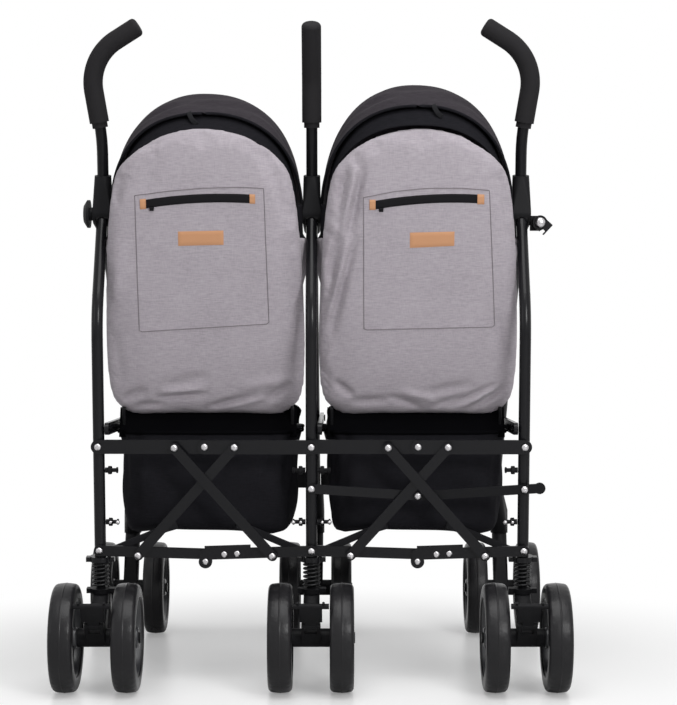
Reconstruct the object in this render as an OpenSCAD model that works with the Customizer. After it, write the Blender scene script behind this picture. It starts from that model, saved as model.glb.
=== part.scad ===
// Side by side double stroller with an umbrella fold.
// Millimetres, +Z up, +Y is the way it travels, +X is the pusher's right.
// The origin lies on the floor, midway between the axles, in the middle frame's plane.

/* [Overall] */
// Distance between neighbouring side frames
frame_pitch = 314; // [300:1:330]
// Distance from rear axle to front axle
wheelbase = 590; // [560:1:620]
// How far the outer front casters stand outside their side frames
caster_splay = 12; // [0:1:20]

/* [Wheels] */
// Diameter of every wheel
wheel_d = 160; // [150:1:166]
// Width of the tyre
tyre_w = 35; // [30:1:38]
// Radial depth of the foam tyre
tyre_depth = 22; // [16:1:26]
// Distance between the two wheels of a twin set
twin_track = 90; // [86:1:96]
// Axle diameter
axle_d = 8; // [6:0.5:10]
// Hub diameter
hub_d = 30; // [26:1:34]
// Round windows in each rim
rim_windows = 6; // [4:1:8]
// Rearward trail of the front casters
caster_trail = 35; // [28:1:40]

/* [Tubes] */
// Outside diameter of the frame tube
tube_d = 17; // [16:0.5:18]
// Wall of the frame tube
tube_wall = 1.5; // [1:0.1:2]
// Bend radius of the main tube
main_bend_r = 150; // [140:1:160]

/* [Side joint] */
// Height of the hinge where the rear leg meets the main tube
joint_z = 705; // [690:1:720]
// Distance of that hinge in front of the rear axle
joint_ahead = 70; // [60:1:80]
// Diameter of the hinge pin
joint_pin_d = 8; // [6:0.5:10]
// Width of the moulded housing
housing_w = 27; // [26:0.5:29]

/* [Handles] */
// Rearward lean of the handle tubes in degrees
handle_lean = 10; // [6:1:14]
// Outward lean of the outer handle tubes in degrees
handle_flare = 9; // [6:1:11]
// Length of straight grip below the handle bend
grip_straight = 47; // [40:1:60]
// Height where the handles begin to bend
handle_bend_z = 888; // [875:1:900]
// Bend radius of the handles
handle_bend_r = 75; // [65:1:85]
// Turn of the outer handles towards the middle in degrees
side_turn = 67; // [55:1:75]
// Rearward turn of the middle handle in degrees
centre_turn = 20; // [15:1:35]
// Straight end of the outer handles
handle_tip = 34; // [25:1:45]
// Length of the centre handle past its bend
centre_tip = 73; // [60:1:80]
// Outside diameter of the foam grip
grip_d = 29; // [26:1:32]

/* [Rear legs] */
// Forward tilt of the lower leg in degrees
leg_tilt = 7.3; // [6:0.1:9]
// Rearward set of the lower leg from the hinge
leg_offset = 90; // [85:1:95]
// Angle between upper and lower leg in degrees
leg_knee = 32; // [30:1:34]
// Bend radius of the rear leg
leg_bend_r = 120; // [100:1:130]
// Gap between the rear tyres and the lower cross bar, along the leg
lower_bar_clear = 30.5; // [26:0.5:34]
// Rise of the release toggle above the lower cross bar
toggle_rise = 93; // [88:1:98]
// Rise of the upper cross bar above the release toggle
upper_bar_rise = 63; // [58:1:68]

/* [Cross bars] */
// Thickness of the flat links
bar_t = 3; // [2:0.5:3.5]
// Width of the upper bar
upper_bar_w = 21; // [18:1:23]
// Width of the lower bar
lower_bar_w = 17; // [15:1:19]
// Width of the scissor links
scissor_w = 15; // [13:1:17]
// Width of the toggle
toggle_w = 14; // [12:1:16]
// Sag of the lower bar's middle hinge
lower_sag = 16; // [10:1:18]
// Sag of the toggle's middle
toggle_sag = 10; // [6:1:12]
// Distance of the scissor pivots from the legs along the lower bar
scissor_foot = 58; // [54:1:62]
// Distance of the scissor heads from the upper bar's middle
scissor_head = 44; // [40:1:48]
// Rivet diameter
rivet_d = 6; // [5:0.5:7]
// Overhang of the release pedal past its leg
pedal_reach = 31; // [26:1:36]

/* [Suspension] */
// Outside diameter of the coil spring
spring_d = 26; // [25:0.5:27]
// Wire diameter of the coil spring
spring_wire = 3; // [2:0.5:3.5]
// Turns of the coil spring
spring_turns = 6; // [4:1:7]
// Length of the spring at rest
spring_len = 40; // [38:1:42]

/* [Seats] */
// Lean of the backrest from upright in degrees
back_lean = 16; // [14:1:18]
// Height of the hinge between seat and backrest
seat_z = 424; // [420:1:430]
// Distance of that hinge in front of the rear axle
seat_ahead = 99; // [94:1:104]
// Half width of the backrest
back_half_w = 144; // [136:1:145]
// Length of the backrest above its widest line
back_rise = 280; // [270:1:290]
// Depth of the seat cushion, front to rear
seat_depth = 286; // [270:1:295]
// Thickness of the seat cushion
seat_t = 32; // [26:1:36]
// Radius of the left hood above its pivot
left_hood_r = 184; // [178:1:200]
// Radius of the right hood above its pivot
right_hood_r = 197; // [178:1:200]

/* [Baskets] */
// Half width of a basket
basket_half_w = 133; // [125:1:136]
// Length of a basket, front to rear
basket_len = 312; // [290:1:320]
// Depth of a basket
basket_deep = 120; // [110:1:126]

/* [Hidden] */
$fn = 24;
// Overrun of every cut
cut = 1;
// Clearance between a pin and its hole, on the radius
pin_gap = 0.08;
// Clearance between pieces that lie beside each other
seat_gap = 0.3;
// Clearance between a sleeve and its tube, on the radius
sleeve_gap = 0.15;

// Side frames from left to right
side_names = ["left", "centre", "right"];
// The two seat units between them
unit_names = ["left", "right"];
// The two wheels of a twin set
twin_names = ["left", "right"];
LEFT = -1;
CENTRE = 0;
RIGHT = 1;
sides = [LEFT, CENTRE, RIGHT];
twins = [LEFT, RIGHT];

side_nodes = ["main_tube", "grip", "frame_mouldings", "rear_leg", "wheel_carrier", "spring",
  "brake_pedal", "caster_fork", "seat_rail"];
unit_nodes = ["upper_bar_left", "upper_bar_right", "lower_bar_left", "lower_bar_right",
  "scissor_rising", "scissor_falling", "backrest", "hood"];
wheel_nodes = ["rear_wheel", "front_wheel"];
single_nodes = ["transport_hook", "toggle_link", "release_lever", "seat_slings", "baskets"];

tube_black = "#232427";
plastic_black = "#1b1c1e";
foam_black = "#151617";
steel = "#b9bcc0";
fabric_grey = "#74777c";
fabric_black = "#17181a";
tyre_black = "#1d1d1f";
rim_grey = "#4a4d52";

wheel_r = wheel_d / 2;
tube_r = tube_d / 2;
rear_axle_y = -wheelbase / 2;
front_axle_y = wheelbase / 2;
joint_y = rear_axle_y + joint_ahead;

// Hinge eye of the rear leg and its running gap
eye_r = 13;
eye_gap = 0.6;
eye_w = tube_d + 4 * seat_gap;
// Wall of the housing round the main tube
housing_wall = 4;
housing_r = tube_r + housing_wall;
// Where on the bend of the main tube the housing starts, in degrees, and its end rings
housing_low = 3;
housing_t = 10;
// Cheeks of the housing
cheek_in = eye_w / 2 + seat_gap;
boss_r = 15;

// Where the bend of the main tube lies, seen from the leg hinge
main_set_y = 15;
main_set_z = 7;
bend_y = joint_y + main_set_y;
bend_z = joint_z + main_set_z;

// Front socket, stem and fork crown
stem_y = front_axle_y + caster_trail;
stem_d = 10;
crown_gap = 6;
crown_t = 7;
crown_d = 26;
barrel_d = 30;
barrel_z = wheel_d + crown_gap + crown_t + seat_gap;
barrel_h = 40;
stem_in = 32;
tube_end_back = 22;
tube_end_rise = 66;
tube_end_y = stem_y - tube_end_back;
tube_end_z = wheel_d + tube_end_rise;
socket_len = 46;
socket_wall = 5;

// Slope of the main tube from upright, and its straight length
main_slope = atan2(tube_end_y - bend_y, bend_z - tube_end_z);
main_len = norm([tube_end_y - bend_y, bend_z - tube_end_z]);
main_turn = main_slope - handle_lean;
main_bend_cut = main_bend_r * tan(main_turn / 2);

// Straight of the handle tube up to the start of the grip, and the flare bend below it
flare_r = 300;
flare_arc = flare_r * handle_flare * PI / 180;
grip_run = (handle_bend_z - bend_z) / cos(handle_lean) - main_bend_cut;
handle_run = grip_run - grip_straight - flare_arc;
tip_round = 6;
grip_collar = 8;
grip_collar_share = 0.8;

// Twin wheels and their hubs
hub_inset = 1;
hub_w = tyre_w - 2 * hub_inset;
rim_r = wheel_r - tyre_depth;
bead_r = rim_r + sleeve_gap;
rim_wall = 5;
rim_inset = 2.5;
rim_w = tyre_w - 2 * rim_inset;
web_t = 8;
window_d = 17;
cap_d = 16;
cap_t = 2.5;
tread_dip = 1.5;
tread_w = 3;
tread_pitch = 9;
tyre_round = 8;

// Rear axle seen in the frame of the rear leg
axle_v = [rear_axle_y - joint_y, wheel_r - joint_z];
axle_ly = axle_v[0] * cos(leg_tilt) + axle_v[1] * sin(leg_tilt);
axle_lz = axle_v[1] * cos(leg_tilt) - axle_v[0] * sin(leg_tilt);

// Drops of the cross bars and the toggle below the hinge, along the leg
lower_bar_drop = -axle_lz - wheel_r - lower_bar_w / 2 - lower_bar_clear;
toggle_drop = lower_bar_drop - toggle_rise;
upper_bar_drop = toggle_drop - upper_bar_rise;

// Upper straight of the rear leg, from the hinge to the knee
knee_side = leg_offset - leg_bend_r * (1 - cos(leg_knee));
leg_upper = knee_side / sin(leg_knee);
knee_drop = leg_upper * cos(leg_knee) + leg_bend_r * sin(leg_knee);

// Flat links: gaps between their layers
bar_clear = 0.6;
bar_gap = 0.4;
head_d = 11;
head_t = 2;
half_span = frame_pitch / 2;
lower_half = norm([half_span, lower_sag]);
lower_angle = atan2(lower_sag, half_span);
toggle_half = norm([half_span, toggle_sag]);
toggle_angle = atan2(toggle_sag, half_span);
foot_u = scissor_foot * cos(lower_angle);
foot_v = -lower_bar_drop - scissor_foot * sin(lower_angle);
head_u = half_span + scissor_head;
scissor_v = [head_u - foot_u, -upper_bar_drop - foot_v];
scissor_len = norm(scissor_v);
scissor_angle = atan2(scissor_v[1], scissor_v[0]);

// Collar under the lower bar, spring seat and strut
collar_d = 31;
collar_clear = 2;
collar_drop = lower_bar_drop + lower_bar_w / 2 + collar_clear;
collar_t = 8;
spring_drop = collar_drop + collar_t + seat_gap;
shoulder_drop = spring_drop + spring_len + seat_gap;
shoulder_d = 30;
shoulder_t = 7;
// Side lugs on the collar and on the spring seat
lug_span = 42;
lug_run = 12;
lug_rise = 7;
strut_d = tube_d - 2 * tube_wall - 2 * seat_gap;
strut_in = 60;
carrier_d = 24;
boss_d = 27;

// Brake pedal: its pivot seen from the rear axle, and its plate
pedal_back = 30;
pedal_up = 26;
pedal_len = 48;
pedal_w = 33;
pedal_t = 8;
pedal_slope = 43;
knuckle_d = 13;
knuckle_w = 17;
lug_t = 5;
// Bar across the foot of the pedal, and its two prongs
pedal_bar_gap = 1;
pedal_bar_w = twin_track - tyre_w - 2 * pedal_bar_gap;
prong_d = 4;
prong_len = 8;
prong_in = 8;
pedal_tip = pedal_len - knuckle_d - pedal_t / 2;

// Seat rails beside the tubes
rail_drop = 39;
rail_z = seat_z - rail_drop;
rail_w = 18;
rail_t = 6;
rail_gap = 1;
rail_y = bend_y + (bend_z - rail_z) * tan(main_slope);
rail_leg_lz = (rail_z - joint_z + leg_offset * sin(leg_tilt)) / cos(leg_tilt);
rail_leg_y = joint_y - leg_offset * cos(leg_tilt) - rail_leg_lz * sin(leg_tilt);
rail_len = rail_y - rail_leg_y;
rail_in = tube_r + rail_gap;

// Soft goods
back_y = rear_axle_y + seat_ahead;
back_drop = 150;
back_centre = 138;
back_bulge = 34;
back_front = 10;
back_rod_d = 9;
back_lug_t = 5;
back_lug_in = 14;
back_lug_sewn = 10;
seat_half_w = half_span - rail_in - rail_t - seat_gap;
seat_back_gap = 13;
seat_mid_rise = 8;
seat_mid_z = rail_z + seat_mid_rise;
flap_sewn = 5;
flap_half_w = 122;
flap_t = 9;
strap_w = 42;
strap_t = 4;
strap_z = tube_end_z + (socket_len + strap_w / 2) * cos(main_slope);
strap_y = bend_y + (bend_z - strap_z) * tan(main_slope);
hood_half_w = half_span - housing_w / 2 - seat_gap;
hood_t = 3;
hood_hub_r = 18;
hood_hub_t = 4;
basket_wall = 3;
basket_hang = 6.5;
basket_top = rail_z - basket_hang;
basket_rim = 26;
basket_ahead = 213;
basket_y = rear_axle_y + basket_ahead;

// Tube along +Z from the origin
module tube_run(length, d, wall) {
  difference() {
    cylinder(h = length, d = d);
    translate([0, 0, -cut]) cylinder(h = length + 2 * cut, d = d - 2 * wall);
  }
}

// Faint crimp that a bender leaves where a bend meets a straight
crimp = 0.1;
crimp_len = 2;
module crimp_ring(d, wall) {
  translate([0, 0, -crimp_len / 2]) tube_run(crimp_len, d + 2 * crimp, wall + 2 * crimp);
}

// Tube bend that starts along +Z and turns towards +Y
module tube_bend(bend_r, turn, d, wall) {
  multmatrix([[0, 0, -1, 0], [-1, 0, 0, bend_r], [0, 1, 0, 0], [0, 0, 0, 1]])
    rotate_extrude(angle = turn) translate([bend_r, 0]) difference() {
      circle(d = d);
      circle(d = d - 2 * wall);
    }
}

// Moves what follows to the end of a bend
module past_bend(bend_r, turn) {
  translate([0, bend_r * (1 - cos(turn)), bend_r * sin(turn)]) rotate([-turn, 0, 0]) children();
}

// Bent tube: each step is [straight length, bend radius, turn, roll before the turn]
module bent_tube(steps, d, wall, i = 0) {
  if (i < len(steps)) {
    step = steps[i];
    tube_run(step[0], d, wall);
    if (i > 0) crimp_ring(d, wall);
    translate([0, 0, step[0]]) rotate([0, 0, step[3]]) {
      if (step[2] > 0) crimp_ring(d, wall);
      if (step[2] > 0) tube_bend(step[1], step[2], d, wall);
      past_bend(step[1], step[2]) bent_tube(steps, d, wall, i + 1);
    }
  }
}

// Solid of triangles through rings of points, closed at both ends
module loft(rings) {
  n = len(rings[0]);
  m = len(rings);
  ends = [rings[0], rings[m - 1]];
  middles = [for (r = ends) [for (k = [0:2]) sum([for (p = r) p[k]]) / n]];
  points = concat([for (r = rings) for (p = r) p], middles);
  walls = [for (j = [0:m - 2]) for (i = [0:n - 1])
    let (a = j * n + i, b = j * n + (i + 1) % n)
    each [[a, a + n, b], [b, a + n, b + n]]];
  first = [for (i = [0:n - 1]) [i, (i + 1) % n, n * m]];
  last = [for (i = [0:n - 1]) [n * (m - 1) + (i + 1) % n, n * (m - 1) + i, n * m + 1]];
  polyhedron(points = points, faces = concat(walls, first, last), convexity = 6);
}

function sum(list, i = 0) = i < len(list) ? list[i] + sum(list, i + 1) : 0;
function signed_power(v, e) = sign(v) * pow(abs(v), e);

// Frame tube from the front socket to the tip of the handle, laid out in its own plane
function handle_roll(side) = side == CENTRE ? 180 : side * 90;
function flare_step(side, length) = side == CENTRE
  ? [length + flare_arc, 0, 0, 0] : [length, flare_r, handle_flare, -handle_roll(side)];
function bend_step(side) = side == CENTRE
  ? [grip_straight, handle_bend_r, centre_turn, 180] : [grip_straight, handle_bend_r, side_turn, 180];

function tip_of(side) = side == CENTRE ? centre_tip : handle_tip;

module at_tube_end(side) {
  translate([side * frame_pitch, tube_end_y, tube_end_z]) rotate([main_slope, 0, 0]) children();
}

module at_main_bend(side) {
  at_tube_end(side) translate([0, 0, main_len - main_bend_cut]) children();
}

module main_tube(side) {
  color(tube_black) {
    at_tube_end(side) bent_tube([
      [main_len - main_bend_cut, main_bend_r, main_turn, 0],
      flare_step(side, handle_run),
      bend_step(side),
      [tip_of(side), 0, 0, 0]], tube_d, tube_wall);
    rail_stud(side);
  }
}

// Side of each frame on which its seat rail lies
function rail_side(side) = side == RIGHT ? -1 : 1;

// Stud on the main tube that carries the seat rail
module rail_stud(side) {
  reach = rail_in + rail_t + seat_gap;
  translate([side * frame_pitch, rail_y, rail_z]) rotate([0, 90 * rail_side(side), 0]) {
    translate([0, 0, tube_r - tube_wall]) cylinder(h = reach + head_t - tube_r + tube_wall, d = rivet_d);
    translate([0, 0, reach]) cylinder(h = head_t, d = head_d);
  }
}

// Foam grip over the bent end of the handle, with a rounded closed tip
module grip(side) {
  wall = (grip_d - tube_d) / 2 - seat_gap;
  color(foam_black)
    at_main_bend(side) past_bend(main_bend_r, main_turn) translate([0, 0, handle_run])
      past_flare(side) {
        bent_tube([bend_step(side), [tip_of(side) + seat_gap, 0, 0, 0]], grip_d, wall);
        translate([0, 0, -grip_collar]) tube_run(grip_collar, grip_d * grip_collar_share, wall / 2 - seat_gap);
        grip_tip(side);
      }
}

// Frame at the start of the grip: past the outward flare on the outer handles
module past_flare(side) {
  if (side == CENTRE) translate([0, 0, flare_arc]) children();
  else rotate([0, 0, -handle_roll(side)]) past_bend(flare_r, handle_flare) children();
}

module grip_tip(side) {
  turn = side == CENTRE ? centre_turn : side_turn;
  translate([0, 0, grip_straight]) rotate([0, 0, 180]) past_bend(handle_bend_r, turn)
    translate([0, 0, tip_of(side) + seat_gap]) rotate_extrude() {
      square([grip_d / 2 - tip_round, tip_round]);
      intersection() {
        translate([grip_d / 2 - tip_round, 0]) circle(r = tip_round);
        square([grip_d / 2, tip_round]);
      }
    }
}

// Moulded housing of the leg hinge, and the socket at the foot of the main tube
module frame_mouldings(side) {
  color(plastic_black) {
    joint_housing(side);
    front_socket(side);
    if (side == LEFT) catch_knob();
    if (side == RIGHT) hook_lug();
  }
}

module across(side, y, z, length, d) {
  translate([side * frame_pitch - length / 2, y, z]) rotate([0, 90, 0]) cylinder(h = length, d = d);
}

module joint_housing(side) {
  difference() {
    hull() {
      $fn = 32;
      at_main_bend(side) past_bend(main_bend_r, main_turn - housing_low)
        cylinder(h = housing_t, r = housing_r);
      at_main_bend(side) past_bend(main_bend_r, housing_low) cylinder(h = housing_t, r = housing_r);
      across(side, joint_y, joint_z, housing_w, 2 * boss_r);
    }
    at_main_bend(side) multmatrix([[0, 0, -1, 0], [-1, 0, 0, main_bend_r], [0, 1, 0, 0], [0, 0, 0, 1]])
      rotate([0, 0, -main_turn]) rotate_extrude(angle = 3 * main_turn) translate([main_bend_r, 0])
        circle(r = tube_r + sleeve_gap);
    across(side, joint_y, joint_z, 2 * cheek_in, 2 * (eye_r + eye_gap));
    leg_slot(side);
  }
  across(side, joint_y, joint_z, housing_w, joint_pin_d);
}

// Slot between the cheeks through which the leg swings
module leg_slot(side) {
  slot_len = 3 * boss_r;
  slot_rear = 68;
  slot_front = 54;
  translate([side * frame_pitch - cheek_in, joint_y, joint_z]) rotate([90, 0, 90])
    linear_extrude(height = 2 * cheek_in) polygon([
      [0, 0],
      slot_len * [-sin(slot_rear), -cos(slot_rear)],
      slot_len * [0, -1],
      slot_len * [sin(slot_front), -cos(slot_front)]]);
}

module front_socket(side) {
  foot_x = side * (frame_pitch + caster_splay);
  difference() {
    hull() {
      $fn = 32;
      translate([foot_x, stem_y, barrel_z]) cylinder(h = barrel_h, d = barrel_d);
      at_tube_end(side) translate([0, 0, -socket_wall]) cylinder(h = socket_len, r = tube_r + socket_wall);
    }
    at_tube_end(side) cylinder(h = socket_len + cut, r = tube_r + sleeve_gap);
    translate([foot_x, stem_y, barrel_z - cut])
      cylinder(h = stem_in + cut + seat_gap, d = stem_d + 2 * pin_gap);
  }
}

// Round catch on the outer face of the left joint
knob_d = 42;
knob_neck_d = 20;
knob_t = 4;
knob_dome = 5;
knob_dome_share = 0.62;
knob_neck = 5;
module catch_knob() {
  translate([-frame_pitch - housing_w / 2, joint_y, joint_z]) rotate([0, -90, 0]) {
    cylinder(h = knob_neck, d = knob_neck_d);
    translate([0, 0, knob_neck]) cylinder(h = knob_t, d = knob_d);
    translate([0, 0, knob_neck + knob_t]) cylinder(h = knob_dome, d1 = knob_d, d2 = knob_d * knob_dome_share);
  }
}

// Lug on the outer face of the right joint with the pin of the transport hook
lug_reach = 24;
lug_h = 22;
lug_depth = 12;
hook_drop = 14;
hook_pin_d = 6;
hook_t = 5;
hook_head_d = 15;
hook_reach = 16.5;
hook_w = 20;
hook_boss_share = 1.08;
hook_mouth = 6;
hook_x = frame_pitch + housing_w / 2 + lug_reach - lug_h / 2;
hook_y = joint_y - boss_r - seat_gap;
hook_z = joint_z - hook_drop;
module hook_lug() {
  translate([frame_pitch + housing_w / 2, joint_y - lug_depth / 2, hook_z - lug_h / 2])
    cube([lug_reach - lug_h / 2, lug_depth, lug_h]);
  translate([hook_x, joint_y + lug_depth / 2, hook_z]) rotate([90, 0, 0])
    cylinder(h = lug_depth / 2 + joint_y - hook_y, d = lug_h);
  translate([hook_x, hook_y, hook_z]) rotate([90, 0, 0]) {
    cylinder(h = hook_t + 2 * seat_gap + head_t, d = hook_pin_d);
    translate([0, 0, hook_t + 2 * seat_gap]) cylinder(h = head_t, d = hook_head_d);
  }
}

// Hook that holds the folded stroller shut
hook_tilt = -43;
module transport_hook() {
  color(plastic_black)
    translate([hook_x, hook_y - seat_gap, hook_z]) rotate([90, 0, 0]) linear_extrude(height = hook_t)
      rotate(hook_tilt) difference() {
        union() {
          circle(d = hook_w * hook_boss_share);
          translate([0, -hook_w / 2]) square([hook_reach, hook_w]);
        }
        circle(d = hook_pin_d + 2 * pin_gap);
        translate([hook_reach / 2, -hook_w / 2 - cut]) square([hook_mouth, hook_mouth + cut]);
      }
}

// Frame of the rear legs: the hinge is its origin and the lower leg runs along -Z
module leg_plane(x = 0) {
  translate([x, joint_y, joint_z]) rotate([leg_tilt, 0, 0]) children();
}

function layer_y(n) = -(leg_offset + tube_r + bar_clear + n * (bar_t + bar_gap));

// Number of link layers riveted on each leg, and the layer of the first one
function leg_layers(side) = side == LEFT ? 1 : 2;

// Rear leg with its hinge eye, rivets for the cross bars and the collar over the spring
module rear_leg(side) {
  color(tube_black) leg_plane(side * frame_pitch) {
    rotate([180 - leg_knee, 0, 0]) translate([0, 0, tube_r]) bent_tube([
      [leg_upper - tube_r, leg_bend_r, leg_knee, 180],
      [collar_drop + collar_t - knee_drop, 0, 0, 0]], tube_d, tube_wall);
    rotate([0, 90, 0]) difference() {
      cylinder(h = eye_w, r = eye_r, center = true);
      cylinder(h = eye_w + 2 * cut, d = joint_pin_d + 2 * pin_gap, center = true);
    }
    bar_rivet(side, upper_bar_drop);
    bar_rivet(side, lower_bar_drop);
    if (side != LEFT) bar_rivet(side, toggle_drop);
    translate([0, -leg_offset, -collar_drop - collar_t]) difference() {
      cylinder(h = collar_t, d = collar_d);
      translate([0, 0, -cut]) cylinder(h = collar_t + 2 * cut, d = tube_d - tube_wall);
    }
    side_lugs(-collar_drop - collar_t, tube_d);
  }
}

// Pair of square lugs at the sides of a leg, clear of the bore between them
module side_lugs(z, bore_d) {
  translate([0, -leg_offset, z]) difference() {
    translate([-lug_span / 2, -lug_run / 2, 0]) cube([lug_span, lug_run, lug_rise]);
    translate([0, 0, -cut]) cylinder(h = lug_rise + 2 * cut, d = bore_d);
  }
}

// Rivet on the rear of a leg, long enough for the layers that it carries
module bar_rivet(side, drop) {
  toggle = drop == toggle_drop;
  layers = toggle && side == CENTRE ? 1 : leg_layers(side);
  head_y = layer_y(layers - 1) - bar_t - bar_gap;
  translate([0, -leg_offset - tube_r + tube_wall, -drop]) rotate([90, 0, 0]) {
    cylinder(h = -leg_offset - tube_r + tube_wall - head_y + head_t, d = rivet_d);
    translate([0, 0, -leg_offset - tube_r + tube_wall - head_y]) cylinder(h = head_t, d = head_d);
    if (side == RIGHT)
      cylinder(h = -leg_offset - tube_r + tube_wall - layer_y(1) - bar_gap, d = head_d);
  }
}

// Wheel carrier: strut inside the leg, spring seat, arm, axle and brake lugs
module wheel_carrier(side) {
  color(plastic_black) leg_plane(side * frame_pitch) {
    translate([0, -leg_offset, -shoulder_drop]) {
      cylinder(h = shoulder_drop - collar_drop - collar_t + strut_in, d = strut_d);
      translate([0, 0, -shoulder_t]) cylinder(h = shoulder_t, d = shoulder_d);
    }
    side_lugs(-shoulder_drop - lug_rise, strut_d - tube_wall);
    difference() {
      union() {
        hull() {
          $fn = 32;
          translate([0, -leg_offset, -shoulder_drop - shoulder_t - carrier_d / 2])
            cylinder(h = carrier_d / 2, d = carrier_d);
          at_axle() cylinder(h = carrier_d, d = boss_d, center = true);
        }
        at_axle() cylinder(h = twin_track - hub_w - 2 * seat_gap, d = boss_d, center = true);
        hull() {
          $fn = 32;
          at_axle() cylinder(h = knuckle_w + 2 * (lug_t + seat_gap), d = boss_d, center = true);
          at_brake() cylinder(h = knuckle_w + 2 * (lug_t + seat_gap), d = knuckle_d, center = true);
        }
      }
      at_brake() cylinder(h = knuckle_w + 2 * seat_gap, d = 2 * knuckle_d, center = true);
      at_axle() cylinder(h = twin_track, d = axle_d + 2 * sleeve_gap, center = true);
    }
    at_brake() cylinder(h = knuckle_w + 2 * (lug_t + seat_gap), d = knuckle_d / 2, center = true);
  }
  color(steel) leg_plane(side * frame_pitch) at_axle() axle();
}

module at_axle() {
  translate([0, axle_ly, axle_lz]) rotate([0, 90, 0]) children();
}

module at_brake() {
  translate([0, axle_ly - pedal_back, axle_lz + pedal_up]) rotate([0, 90, 0]) children();
}

// Axle with a cap beyond each hub
module axle() {
  reach = twin_track / 2 + hub_w / 2 + seat_gap;
  cylinder(h = 2 * reach, d = axle_d, center = true);
  for (end = [-1, 1]) translate([0, 0, end * (reach + cap_t / 2)])
    cylinder(h = cap_t, d = cap_d, center = true);
}

// Coil spring as one wire: rings of points along a helix
wire_sides = 6;
rings_a_turn = 8;
coil_r = (spring_d - spring_wire) / 2;
coil_rise = spring_len - spring_wire - 2 * seat_gap;
coil_pitch = coil_rise / spring_turns;
coil_lead = atan2(coil_pitch, 2 * PI * coil_r);
function coil_point(a) = [coil_r * cos(a), coil_r * sin(a), coil_pitch * a / 360];
function coil_ring(a) = [for (i = [0:wire_sides - 1])
  let (w = -360 * i / wire_sides, s = spring_wire / 2 * cos(w), t = spring_wire / 2 * sin(w))
  coil_point(a) + [s * cos(a) + t * sin(a) * sin(coil_lead), s * sin(a) - t * cos(a) * sin(coil_lead),
    t * cos(coil_lead)]];
coil_turns = [for (k = [0:spring_turns * rings_a_turn]) 360 * k / rings_a_turn];
coil_gap = min([for (a = coil_turns) for (b = coil_turns) if (b - a > 180)
  norm(coil_point(a) - coil_point(b)) - spring_wire]);
echo(least_gap_of_the_coil_to_itself = coil_gap);

module spring(side) {
  color(steel) leg_plane(side * frame_pitch)
    translate([0, -leg_offset, -spring_drop - spring_len + spring_wire / 2 + seat_gap])
      loft([for (a = coil_turns) coil_ring(a)]);
}

// Foot pedal of the rear brake
module brake_pedal(side) {
  color(plastic_black) leg_plane(side * frame_pitch) at_brake() rotate([0, 0, -90 - leg_tilt]) {
    difference() {
      union() {
        cylinder(h = knuckle_w, d = knuckle_d, center = true);
        rotate([0, 0, pedal_slope - 90]) translate([0, -pedal_t / 2, -knuckle_w / 2])
          cube([knuckle_d, pedal_t, knuckle_w]);
      }
      cylinder(h = knuckle_w + 2 * cut, d = knuckle_d / 2 + 2 * pin_gap, center = true);
    }
    rotate([0, 0, pedal_slope - 90]) translate([knuckle_d, -pedal_t / 2, -pedal_w / 2]) {
      cube([pedal_tip, pedal_t, pedal_w]);
      translate([pedal_tip, pedal_t / 2, (pedal_w - pedal_bar_w) / 2]) cylinder(h = pedal_bar_w, d = pedal_t);
      for (end = [-1, 1])
        translate([pedal_tip, pedal_t / 2, pedal_w / 2 + end * (pedal_bar_w / 2 - prong_in)])
          rotate([0, 90, 0]) cylinder(h = prong_len, d = prong_d);
    }
  }
}

// Wheel about the X axis: grooved foam tyre on a rim with round windows
module wheel() {
  rotate([0, 90, 0]) {
    color(tyre_black) rotate_extrude() difference() {
      union() {
        translate([bead_r, -tyre_w / 2]) square([wheel_r - bead_r - tyre_round, tyre_w]);
        translate([bead_r, -tyre_w / 2 + tyre_round]) square([wheel_r - bead_r, tyre_w - 2 * tyre_round]);
        for (e = [-1, 1]) translate([wheel_r - tyre_round, e * (tyre_w / 2 - tyre_round)])
          circle(r = tyre_round);
      }
      for (e = [-1, 1]) translate([wheel_r - tread_dip, e * tread_pitch / 2 - tread_w / 2])
        square([tread_dip + cut, tread_w]);
    }
    color(rim_grey) difference() {
      rotate_extrude() difference() {
        union() {
          translate([rim_r - rim_wall, -rim_w / 2]) square([rim_wall, rim_w]);
          translate([hub_d / 2 - rim_wall, -web_t / 2]) square([rim_r - hub_d / 2, web_t]);
          translate([axle_d / 2 + pin_gap, -hub_w / 2])
            square([(hub_d - axle_d) / 2 - pin_gap, hub_w]);
        }
      }
      for (k = [0:rim_windows - 1]) rotate([0, 0, 360 * k / rim_windows])
        translate([(hub_d / 2 + rim_r - rim_wall) / 2, 0, 0])
          cylinder(h = rim_w, d = window_d, center = true);
    }
  }
}

module rear_wheel(side, twin) {
  translate([side * frame_pitch + twin * twin_track / 2, rear_axle_y, wheel_r]) wheel();
}

module front_wheel(side, twin) {
  translate([side * (frame_pitch + caster_splay) + twin * twin_track / 2, front_axle_y, wheel_r]) wheel();
}

// Caster fork: stem, crown and an arm to the axle between the twin wheels
module caster_fork(side) {
  translate([side * (frame_pitch + caster_splay), 0, 0]) {
    color(plastic_black) {
      difference() {
        union() {
          hull() {
            $fn = 32;
            translate([0, stem_y, wheel_d + crown_gap]) cylinder(h = crown_t, d = crown_d);
            translate([0, front_axle_y, wheel_r]) rotate([0, 90, 0])
              cylinder(h = carrier_d, d = boss_d, center = true);
          }
          translate([0, front_axle_y, wheel_r]) rotate([0, 90, 0])
            cylinder(h = twin_track - hub_w - 2 * seat_gap, d = boss_d, center = true);
        }
        translate([0, front_axle_y, wheel_r]) rotate([0, 90, 0])
          cylinder(h = twin_track, d = axle_d + 2 * sleeve_gap, center = true);
      }
      translate([0, stem_y, wheel_d + crown_gap]) cylinder(h = crown_t + seat_gap + stem_in, d = stem_d);
    }
    color(steel) translate([0, front_axle_y, wheel_r]) rotate([0, 90, 0]) axle();
  }
}

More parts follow.
